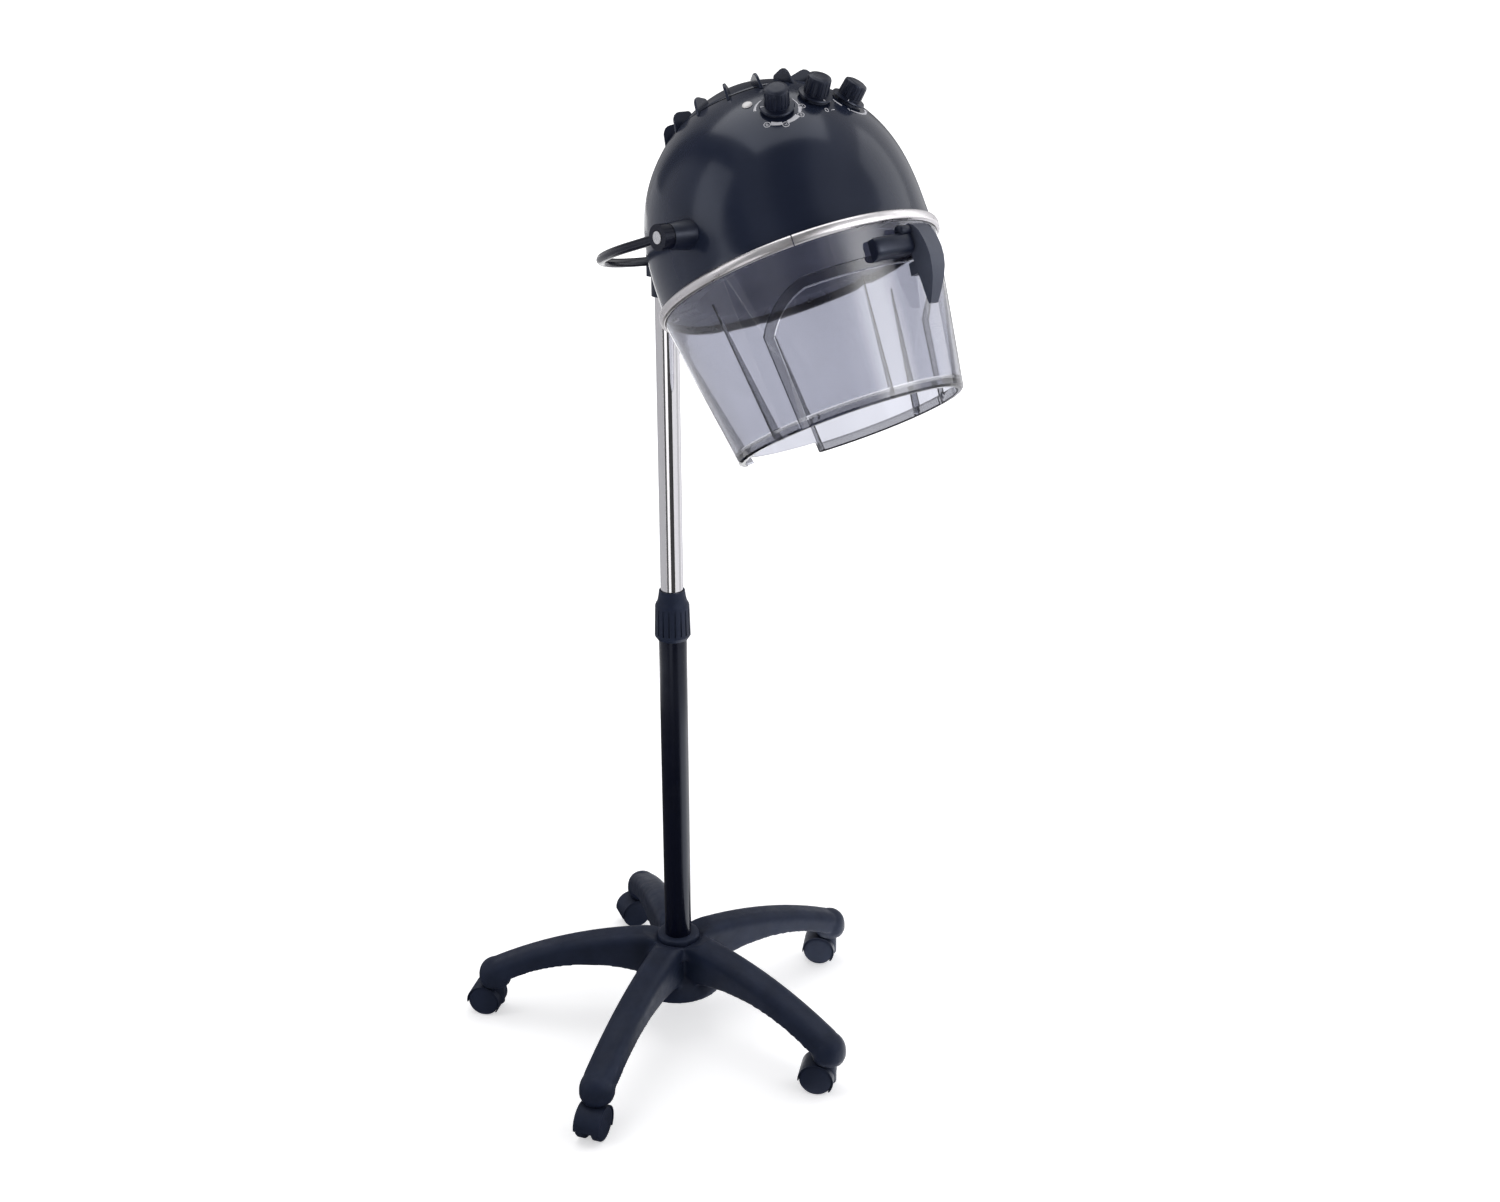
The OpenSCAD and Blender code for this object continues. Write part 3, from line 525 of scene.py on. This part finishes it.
def hook(name, az):
    """small moulded catch at the foot of the flap"""
    d = math.radians(az)
    q = Vector((math.cos(d), -math.sin(d)))
    r0 = skirt_r(-166) - 7.4
    v, f = [], []
    n, m = 22, 10
    for i in range(n + 1):
        t = math.radians(-60 + 250 * i / n)
        c = (3.0 * math.cos(t), 3.0 * math.sin(t))
        for k in range(m):
            w = 2 * math.pi * k / m
            rad = 3.0 + 0.95 * math.cos(w)
            x, z, y = rad * math.cos(t), rad * math.sin(t), 0.95 * math.sin(w)
            v.append(hp((r0 + y) * math.sin(d) + q.x * x, (r0 + y) * math.cos(d) + q.y * x, -164.5 + z))
    for i in range(n):
        for k in range(m):
            f.append((i * m + k, i * m + (k + 1) % m, (i + 1) * m + (k + 1) % m, (i + 1) * m + k))
    f.append(tuple(range(m))[::-1])
    f.append(tuple(n * m + k for k in range(m)))
    o = add(name, v, f, M["painted_shade_line"], "flap_body")
    bm = bmesh.new()
    bm.from_mesh(o.data)
    bmesh.ops.recalc_face_normals(bm, faces=bm.faces)
    bm.to_mesh(o.data)
    bm.free()


# the catches are drawn in the dark painted-shade material, not the clear smoke
hook("flap_catch_left", FLAP_AZ - 65.5)
hook("flap_catch_right", FLAP_AZ + 65.5)

# hinge pads beside the lever
PAD = [(skirt_r(-25) - 0.4, -25.0), (154.2, -25.2), (156.6, -26.2), (157.9, -28.6), (158.3, -33.0), (157.6, -39.5), (156.6, -42.6), (154.4, -44.2), (150.0, -45.0), (skirt_r(-45.2) - 0.4, -45.2)]
for nm_, a0, a1 in (("hinge_pad_left", -21.8, -5.0), ("hinge_pad_right", 5.0, 8.1)):
    vs, fs = [], []
    n, m = 18, len(PAD)
    for i in range(n + 1):
        u = i / n
        az = FLAP_AZ + a0 + (a1 - a0) * u
        e_ = min(u, 1 - u) * abs(a1 - a0) * 2.7
        rd = 0.9 * max(0, 1 - e_ / 1.6) ** 2
        for r_, h_ in PAD:
            out_ = r_ > 150
            vs.append(pol(az, r_ - (rd if out_ else 0), h_ + (rd * 0.6 if h_ < -38 and out_ else (-rd * 0.6 if h_ > -29 and out_ else 0))))
    for i in range(n):
        for k in range(m):
            fs.append((i * m + k, i * m + (k + 1) % m, (i + 1) * m + (k + 1) % m, (i + 1) * m + k))
    fs.append(tuple(range(m))[::-1])
    fs.append(tuple(n * m + k for k in range(m)))
    pad = add(nm_, vs, fs, M["black_satin"], "hood", angle=40)
    bm = bmesh.new()
    bm.from_mesh(pad.data)
    bmesh.ops.recalc_face_normals(bm, faces=bm.faces)
    bm.to_mesh(pad.data)
    bm.free()
    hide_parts("hinge_block")
for nm_, y0, y1 in (("hinge_knuckle_left", -27.2, -12.7), ("hinge_knuckle_right", 12.7, 20.6)):
    d = math.radians(FLAP_AZ)
    dq, qq = Vector((math.sin(d), math.cos(d))), Vector((math.cos(d), -math.sin(d)))
    vs, fs = [], []
    sec = [(y0, 3.9), (y0 + 0.5, 4.9), (y0 + 1.3, 5.3), (y1 - 0.4, 5.3), (y1, 4.9)]
    m = 28
    for y_, r_ in sec:
        for k in range(m):
            w_ = 2 * math.pi * k / m
            b_, h_ = 153.3 + r_ * math.cos(w_), -23 + r_ * math.sin(w_)
            vs.append(hp(dq.x * b_ + qq.x * y_, dq.y * b_ + qq.y * y_, h_))
    for i in range(len(sec) - 1):
        for k in range(m):
            fs.append((i * m + k, i * m + (k + 1) % m, (i + 1) * m + (k + 1) % m, (i + 1) * m + k))
    fs.append(tuple(range(m))[::-1])
    fs.append(tuple((len(sec) - 1) * m + k for k in range(m)))
    kn = add(nm_, vs, fs, M["black_satin"], "hood", angle=40)
    bm = bmesh.new()
    bm.from_mesh(kn.data)
    bmesh.ops.recalc_face_normals(bm, faces=bm.faces)
    bm.to_mesh(kn.data)
    bm.free()

# trim ring: a rolled, brushed band with a butt joint
RING = [(146.64, 0.5), (149.4, 0.5), (150.9, -0.1), (151.7, -1.4), (152.15, -3.6), (152.1, -6.4), (151.6, -8.4), (150.6, -9.8), (149.2, -10.4), (148.3, -10.3), (148.2, -9.0), (146.64, -9.0)]
gap = 0.22
vs, fs = [], []
n, m = 220, len(RING)
for i in range(n + 1):
    az = -42 + gap + (360 - 2 * gap) * i / n
    vs += [pol(az, r, h) for r, h in RING]
for i in range(n):
    for k in range(m):
        fs.append((i * m + k, i * m + (k + 1) % m, (i + 1) * m + (k + 1) % m, (i + 1) * m + k))
fs.append(tuple(range(m))[::-1])
fs.append(tuple(n * m + k for k in range(m)))
ring_o = add("trim_band", vs, fs, M["trim"], "hood", angle=50)
bm = bmesh.new()
bm.from_mesh(ring_o.data)
bmesh.ops.recalc_face_normals(bm, faces=bm.faces)
bm.to_mesh(ring_o.data)
bm.free()
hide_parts("trim_ring")

# ------------------------------------------------------------------ printed marks on the dome
KNOBS = [(-28.2, 31.2, "timer_knob"), (-6.2, 33.2, "power_knob"), (13.5, 30.8, "heat_knob")]
_prof = [egg(90 * i / 600) for i in range(601)]


def dome_r_at(h):
    lo, hi = 0, 600
    if h <= _prof[0][1]:
        return _prof[0][0]
    if h >= _prof[-1][1]:
        return 0.0
    while hi - lo > 1:
        m = (lo + hi) // 2
        if _prof[m][1] < h:
            lo = m
        else:
            hi = m
    a, b = _prof[lo], _prof[hi]
    u = (h - a[1]) / (b[1] - a[1])
    return a[0] + (b[0] - a[0]) * u


class Spot:
    """tangent frame at a place on the dome, in hood millimetres as (x, front, height)"""

    def __init__(s, az, t):
        r, h = egg(t)
        e, a = elev(t), math.radians(az)
        s.o = Vector((r * math.sin(a), r * math.cos(a), h))
        s.n = Vector((math.cos(e) * math.sin(a), math.cos(e) * math.cos(a), math.sin(e)))
        s.t = Vector((math.cos(a), -math.sin(a), 0))
        s.u = s.n.cross(s.t)
        if s.u.z < 0:
            s.u = -s.u

    def on(s, x, y, lift=0.15):
        """point x to the right, y up the dome, dropped onto the surface"""
        q = s.o + s.t * x + s.u * y
        lo, hi = -16.0, 6.0
        for _ in range(30):
            m = (lo + hi) / 2
            w = q + s.n * m
            if math.hypot(w.x, w.y) > dome_r_at(w.z):
                hi = m
            else:
                lo = m
        w = q + s.n * (hi + lift)
        return hp(w.x, w.y, w.z)


def ribbon(name, spot, pts, widths, body="hood", mat=None, lift=0.16):
    """flat printed stroke along pts (x, y in mm), 4-sided section so that it is a closed solid"""
    v, f = [], []
    n = len(pts)
    for i, (x, y) in enumerate(pts):
        a = pts[max(i - 1, 0)]
        b = pts[min(i + 1, n - 1)]
        d = math.hypot(b[0] - a[0], b[1] - a[1]) or 1
        nx, ny = -(b[1] - a[1]) / d, (b[0] - a[0]) / d
        w = widths[i] / 2 if isinstance(widths, (list, tuple)) else widths / 2
        v += [spot.on(x + nx * w, y + ny * w, lift), spot.on(x - nx * w, y - ny * w, lift),
              spot.on(x - nx * w, y - ny * w, -0.3), spot.on(x + nx * w, y + ny * w, -0.3)]
    for i in range(n - 1):
        a, b = 4 * i, 4 * i + 4
        for k in range(4):
            f.append((a + k, b + k, b + (k + 1) % 4, a + (k + 1) % 4))
    f.append((3, 2, 1, 0))
    e = 4 * (n - 1)
    f.append((e, e + 1, e + 2, e + 3))
    o = add(name, v, f, mat or M["print_white"], body, smooth=False)
    bm = bmesh.new()
    bm.from_mesh(o.data)
    bmesh.ops.recalc_face_normals(bm, faces=bm.faces)
    bm.to_mesh(o.data)
    bm.free()
    return o


def arc(a0, a1, r, n=28, cx=0, cy=0):
    return [(cx + r * math.cos(math.radians(a0 + (a1 - a0) * i / n)), cy + r * math.sin(math.radians(a0 + (a1 - a0) * i / n))) for i in range(n + 1)]


# seven-stroke numerals on a 2 x 3.4 mm cell
SEG = {"a": ((0, 1), (1, 1)), "b": ((1, 1), (1, .5)), "c": ((1, .5), (1, 0)), "d": ((1, 0), (0, 0)), "e": ((0, 0), (0, .5)), "f": ((0, .5), (0, 1)), "g": ((0, .5), (1, .5))}
NUM = {"0": "abcdef", "1": "bc", "2": "abged", "3": "abgcd", "4": "fgbc", "5": "afgcd", "6": "afgedc"}


def number(name, spot, txt, cx, cy, w=1.5, h=2.6, th=0.42):
    k = 0
    x = cx - (len(txt) * (w + 0.9) - 0.9) / 2
    for ch in txt:
        for sgm in NUM[ch]:
            a, b = SEG[sgm]
            pa, pb = (x + a[0] * w, cy - h / 2 + a[1] * h), (x + b[0] * w, cy - h / 2 + b[1] * h)
            ribbon(f"{name}_{k}", spot, [pa, ((pa[0] + pb[0]) / 2, (pa[1] + pb[1]) / 2), pb], th)
            k += 1
        x += w + 0.9


s1 = Spot(*KNOBS[0][:2])
ribbon("timer_arc_low", s1, arc(112, 163, 21.5), [0.9 + 1.9 * i / 28 for i in range(29)])
for i, (a0, a1, w0, w1) in enumerate(((352, 402, 1.0, 1.3), (325, 348, 2.6, 3.6), (276, 312, 3.4, 5.0), (233, 262, 4.4, 3.4))):
    ribbon(f"timer_arc_{i}", s1, arc(a0, a1, 21.5 if i == 0 else 22.2, 18), [w0 + (w1 - w0) * k / 18 for k in range(19)])
for i, (a, txt) in enumerate(((226, "6"), (269, "4"), (318, "3"), (350, "1"))):
    cx, cy = 24.6 * math.cos(math.radians(a)), 24.6 * math.sin(math.radians(a))
    ribbon(f"timer_ring_{i}", s1, arc(0, 360, 3.1, 30, cx, cy), 0.6)
    number(f"timer_num_{i}", s1, txt, cx, cy)
s2 = Spot(*KNOBS[1][:2])
ribbon("power_zero", s2, [(1.7 * math.cos(t) + 0.5 * math.sin(t) - 1.2, 2.6 * math.sin(t) - 22.6) for t in [2 * math.pi * i / 28 for i in range(29)]], 0.75)
ribbon("power_dash", s2, [(4.2, -23.2), (6.4, -23.0), (8.6, -22.7)], 0.7)
s3 = Spot(*KNOBS[2][:2])
ribbon("heat_arc_low", s3, arc(118, 205, 21.8, 36), [0.9 + 0.9 * i / 36 for i in range(37)])
ribbon("heat_arc_high", s3, arc(232, 330, 21.8, 36), [1.2 + 1.8 * i / 36 for i in range(37)])
number("heat_num_0", s3, "0", -15.2, -15.6)
number("heat_num_1", s3, "3", 22.5, -12.0)



def knob_mark(name, spot, body, ang, r0, r1, w, k0=3.95, k1=4.72):
    """white index mark inlaid in a knob's flange"""
    ca, sa = math.cos(math.radians(ang)), math.sin(math.radians(ang))
    v = []
    for r in (r0, r1):
        for sd in (-w / 2, w / 2):
            for k in (k0, k1 - (0.12 if r == r1 else 0)):
                q = spot.o + spot.t * (r * ca - sd * sa) + spot.u * (r * sa + sd * ca) + spot.n * k
                v.append(hp(q.x, q.y, q.z))
    f = [(0, 1, 3, 2), (4, 6, 7, 5), (0, 4, 5, 1), (2, 3, 7, 6), (0, 2, 6, 4), (1, 5, 7, 3)]
    o = add(name, v, f, M["print_white"], body, smooth=False)
    bm_ = bmesh.new()
    bm_.from_mesh(o.data)
    bmesh.ops.recalc_face_normals(bm_, faces=bm_.faces)
    bm_.to_mesh(o.data)
    bm_.free()


knob_mark("timer_pointer", s1, "timer_knob", 172, 13.0, 16.6, 0.9)
knob_mark("power_pointer", s2, "power_knob", 268, 14.0, 15.8, 1.5)
knob_mark("heat_pointer", s3, "heat_knob", 215, 13.6, 16.2, 1.1)

# ------------------------------------------------------------------ stage, light, camera
def stage_floor():
    me = bpy.data.meshes.new("studio_floor")
    n, R = 96, 16.0
    v = [(0, 0, 0)] + [(R * math.cos(2 * math.pi * i / n), R * math.sin(2 * math.pi * i / n), 0) for i in range(n)]
    f = [(0, 1 + i, 1 + (i + 1) % n) for i in range(n)]
    me.from_pydata(v, [], f)
    o = bpy.data.objects.new("studio_floor", me)
    sc.collection.objects.link(o)
    m = new_mat("floor_paint", (0.90, 0.90, 0.905), 0.7, var=0.005, scale=2, rvar=0.03, bump=0.02, bscale=300, spec=0.1)
    nt_ = m.node_tree
    b_ = nt_.nodes["Principled BSDF"]
    b_.inputs["Emission Color"].default_value = (1, 1, 1, 1)
    t_ = nt_.nodes.new("ShaderNodeTexCoord")
    l_ = nt_.nodes.new("ShaderNodeVectorMath")
    l_.operation = 'LENGTH'
    nt_.links.new(t_.outputs["Object"], l_.inputs[0])
    mr_ = nt_.nodes.new("ShaderNodeMapRange")
    mr_.interpolation_type = 'SMOOTHSTEP'
    mr_.inputs["From Min"].default_value = 0.5
    mr_.inputs["From Max"].default_value = 4.5
    mr_.inputs["To Min"].default_value = 0.50
    mr_.inputs["To Max"].default_value = 1.1
    nt_.links.new(l_.outputs["Value"], mr_.inputs["Value"])
    nt_.links.new(mr_.outputs["Result"], b_.inputs["Emission Strength"])
    me.materials.append(m)


def flag(name, a0, a1, dist, z0, z1, value):
    """curved studio flag seen only in reflections; angles from the camera's side of the mast"""
    me = bpy.data.meshes.new(name)
    base = math.atan2(-1.4138, -1.1142)
    n = 16
    v, f = [], []
    for i in range(n + 1):
        a = base + math.radians(a0 + (a1 - a0) * i / n)
        v += [(dist * math.cos(a), dist * math.sin(a), z0), (dist * math.cos(a), dist * math.sin(a), z1)]
    for i in range(n):
        f.append((2 * i, 2 * i + 2, 2 * i + 3, 2 * i + 1))
    me.from_pydata(v, [], f)
    o = bpy.data.objects.new(name, me)
    sc.collection.objects.link(o)
    m = new_mat(name + "_cloth", (value, value, value * 1.03), 0.9, var=0.02, scale=3, bump=0.0, spec=0.05)
    b_ = m.node_tree.nodes["Principled BSDF"]
    b_.inputs["Emission Color"].default_value = (value, value, value * 1.04, 1)
    b_.inputs["Emission Strength"].default_value = 0.8
    me.materials.append(m)
    o.visible_camera = False
    o.visible_diffuse = False
    o.visible_shadow = False
    o.visible_transmission = False
    o.visible_volume_scatter = False


def mat_flag(name, a0, a1, r0, r1, value, glow):
    """flat sector just over the floor, seen only in reflections"""
    me = bpy.data.meshes.new(name)
    base = math.atan2(-1.4138, -1.1142)
    n = 24
    v, f = [], []
    for i in range(n + 1):
        a = base + math.radians(a0 + (a1 - a0) * i / n)
        v += [(r0 * math.cos(a), r0 * math.sin(a), 0.004), (r1 * math.cos(a), r1 * math.sin(a), 0.004)]
    for i in range(n):
        f.append((2 * i, 2 * i + 1, 2 * i + 3, 2 * i + 2))
    me.from_pydata(v, [], f)
    o = bpy.data.objects.new(name, me)
    sc.collection.objects.link(o)
    m = new_mat(name + "_cloth", (value, value, value), 0.9, var=0.02, scale=3, bump=0.0, spec=0.05)
    b_ = m.node_tree.nodes["Principled BSDF"]
    b_.inputs["Emission Color"].default_value = (value, value, value, 1)
    b_.inputs["Emission Strength"].default_value = glow
    me.materials.append(m)
    o.visible_camera = False
    o.visible_diffuse = False
    o.visible_shadow = False
    o.visible_transmission = False
    o.visible_volume_scatter = False


def panel(name, loc, target, sx, sy, glow):
    """soft panel with fading edges, seen only in reflections"""
    me = bpy.data.meshes.new(name)
    me.from_pydata([(-sx / 2, -sy / 2, 0), (sx / 2, -sy / 2, 0), (sx / 2, sy / 2, 0), (-sx / 2, sy / 2, 0)], [], [(0, 1, 2, 3)])
    o = bpy.data.objects.new(name, me)
    sc.collection.objects.link(o)
    o.location = loc
    o.rotation_euler = (Vector(target) - Vector(loc)).to_track_quat('-Z', 'Y').to_euler()
    m = new_mat(name + "_cloth", (0.9, 0.9, 0.92), 0.9, var=0.02, scale=3, bump=0.0, spec=0.05)
    nt_ = m.node_tree
    b_ = nt_.nodes["Principled BSDF"]
    tc_ = nt_.nodes.new("ShaderNodeTexCoord")
    mu_ = nt_.nodes.new("ShaderNodeVectorMath")
    mu_.operation = 'MULTIPLY'
    mu_.inputs[1].default_value = (1 / sx, 1 / sy, 0)
    le_ = nt_.nodes.new("ShaderNodeVectorMath")
    le_.operation = 'LENGTH'
    mr_ = nt_.nodes.new("ShaderNodeMapRange")
    mr_.interpolation_type = 'SMOOTHSTEP'
    mr_.inputs["From Min"].default_value = 0.10
    mr_.inputs["From Max"].default_value = 0.50
    mr_.inputs["To Min"].default_value = glow
    mr_.inputs["To Max"].default_value = 0.1
    nt_.links.new(tc_.outputs["Object"], mu_.inputs[0])
    nt_.links.new(mu_.outputs["Vector"], le_.inputs[0])
    nt_.links.new(le_.outputs["Value"], mr_.inputs["Value"])
    nt_.links.new(mr_.outputs["Result"], b_.inputs["Emission Strength"])
    b_.inputs["Emission Color"].default_value = (1, 1, 1, 1)
    me.materials.append(m)
    o.visible_camera = False
    o.visible_diffuse = False
    o.visible_shadow = False
    o.visible_transmission = False
    o.visible_volume_scatter = False


stage_floor()
# low flags give the sliding tube its stripes
flag("flag_dark", -6, 35, 1.2, 0.02, 0.90, 0.035)
flag("flag_stripe_left", -48, -29, 1.25, 0.02, 0.90, 0.06)
flag("flag_left", -165, -49, 1.3, 0.02, 0.90, 0.30)
flag("flag_right", 37, 78, 1.3, 0.02, 0.90, 0.56)
flag("flag_right_mid", 79, 110, 1.3, 0.02, 0.90, 0.42)
flag("flag_right_back", 111, 138, 1.3, 0.02, 0.90, 0.62)
flag("flag_right_edge", 139, 178, 1.3, 0.02, 0.90, 0.36)
# mats lying on the floor darken the lower tube and light its right side
mat_flag("mat_dark", -175, 40, 0.12, 1.1, 0.05, 0.8)
mat_flag("mat_right", 52, 125, 0.12, 1.0, 0.9, 2.3)
# high flags shade the dome
flag("flag_dome_dark", -18, 22, 1.2, 0.91, 1.05, 0.035)
flag("flag_dome_left", -150, -48, 1.3, 0.91, 1.3, 0.34)
flag("flag_dome_left_inner", -47, -20, 1.25, 0.91, 1.1, 0.20)
panel("softbox_right", (0.45, -2.45, 1.72), (-0.04, -0.38, 0.92), 2.3, 1.7, 6.0)
flag("flag_dome_right_far", 66, 90, 1.3, 0.91, 1.3, 0.66)
w = bpy.data.worlds.new("studio")
sc.world = w
w.use_nodes = True
nt = w.node_tree
nt.nodes.clear()
out = nt.nodes.new("ShaderNodeOutputWorld")
bg = nt.nodes.new("ShaderNodeBackground")
bgc = nt.nodes.new("ShaderNodeBackground")
bgc.inputs["Color"].default_value = (1, 1, 1, 1)
bgc.inputs["Strength"].default_value = 1.25
lp = nt.nodes.new("ShaderNodeLightPath")
mix = nt.nodes.new("ShaderNodeMixShader")
tcw = nt.nodes.new("ShaderNodeTexCoord")
# a white tent with dark flats standing left and right of the camera
dt = nt.nodes.new("ShaderNodeVectorMath")
dt.operation = 'DOT_PRODUCT'
dt.inputs[1].default_value = (0.7514, -0.6598, 0.0)
nt.links.new(tcw.outputs["Generated"], dt.inputs[0])
mrw = nt.nodes.new("ShaderNodeMapRange")
mrw.inputs["From Min"].default_value = -1
mrw.inputs["From Max"].default_value = 1
nt.links.new(dt.outputs["Value"], mrw.inputs["Value"])
rp = nt.nodes.new("ShaderNodeValToRGB")
els = rp.color_ramp.elements
stops = [(0.0, 0.63), (0.08, 0.59), (0.13, 0.13), (0.19, 0.12), (0.24, 0.42), (0.34, 0.45), (0.42, 0.16), (0.5, 0.10), (0.60, 0.16), (0.68, 0.72), (0.80, 0.85), (0.86, 0.65), (0.91, 0.62), (0.95, 0.95), (1.0, 1.0)]
while len(els) > 2:
    els.remove(els[0])
els[0].position, els[1].position = stops[0][0], stops[-1][0]
for k, (ps, val) in enumerate(stops):
    e = els[0] if k == 0 else (els[-1] if k == len(stops) - 1 else els.new(ps))
    e.color = (val, val, val * 1.03, 1)
nt.links.new(mrw.outputs["Result"], rp.inputs["Fac"])
nt.links.new(rp.outputs["Color"], bg.inputs["Color"])
bg.inputs["Strength"].default_value = 0.95
nt.links.new(lp.outputs["Is Camera Ray"], mix.inputs["Fac"])
nt.links.new(bg.outputs["Background"], mix.inputs[1])
nt.links.new(bgc.outputs["Background"], mix.inputs[2])
nt.links.new(mix.outputs["Shader"], out.inputs["Surface"])


def area(name, loc, target, sx, sy, power, color=(1, 1, 1)):
    l = bpy.data.lights.new(name, 'AREA')
    l.shape = 'RECTANGLE'
    l.size, l.size_y = sx, sy
    l.energy = power
    l.color = color
    o = bpy.data.objects.new(name, l)
    sc.collection.objects.link(o)
    o.location = loc
    o.rotation_euler = (Vector(target) - Vector(loc)).to_track_quat('-Z', 'Y').to_euler()
    return o


area("key_left", (-3.2, 1.0, 2.4), (0, 0, 0.8), 1.6, 3.0, 20)
area("fill_right", (2.9, -1.2, 2.2), (0, -0.1, 0.9), 1.8, 3.0, 18)
area("top", (0.2, 0.6, 4.4), (0, 0, 0), 3.4, 3.4, 70)

cam = bpy.data.cameras.new("camera")
co = bpy.data.objects.new("camera", cam)
sc.collection.objects.link(co)
sc.camera = co
cam.sensor_fit = 'HORIZONTAL'
cam.sensor_width = 36
cam.lens = 37.38
cam.clip_end = 200
co.location = (-1.1142, -1.4138, 1.2620)
f = Vector((0.6193, 0.7052, -0.3452)).normalized()
co.rotation_euler = f.to_track_quat('-Z', 'Y').to_euler()
cam.dof.use_dof = False
sc.view_settings.view_transform = 'Standard'
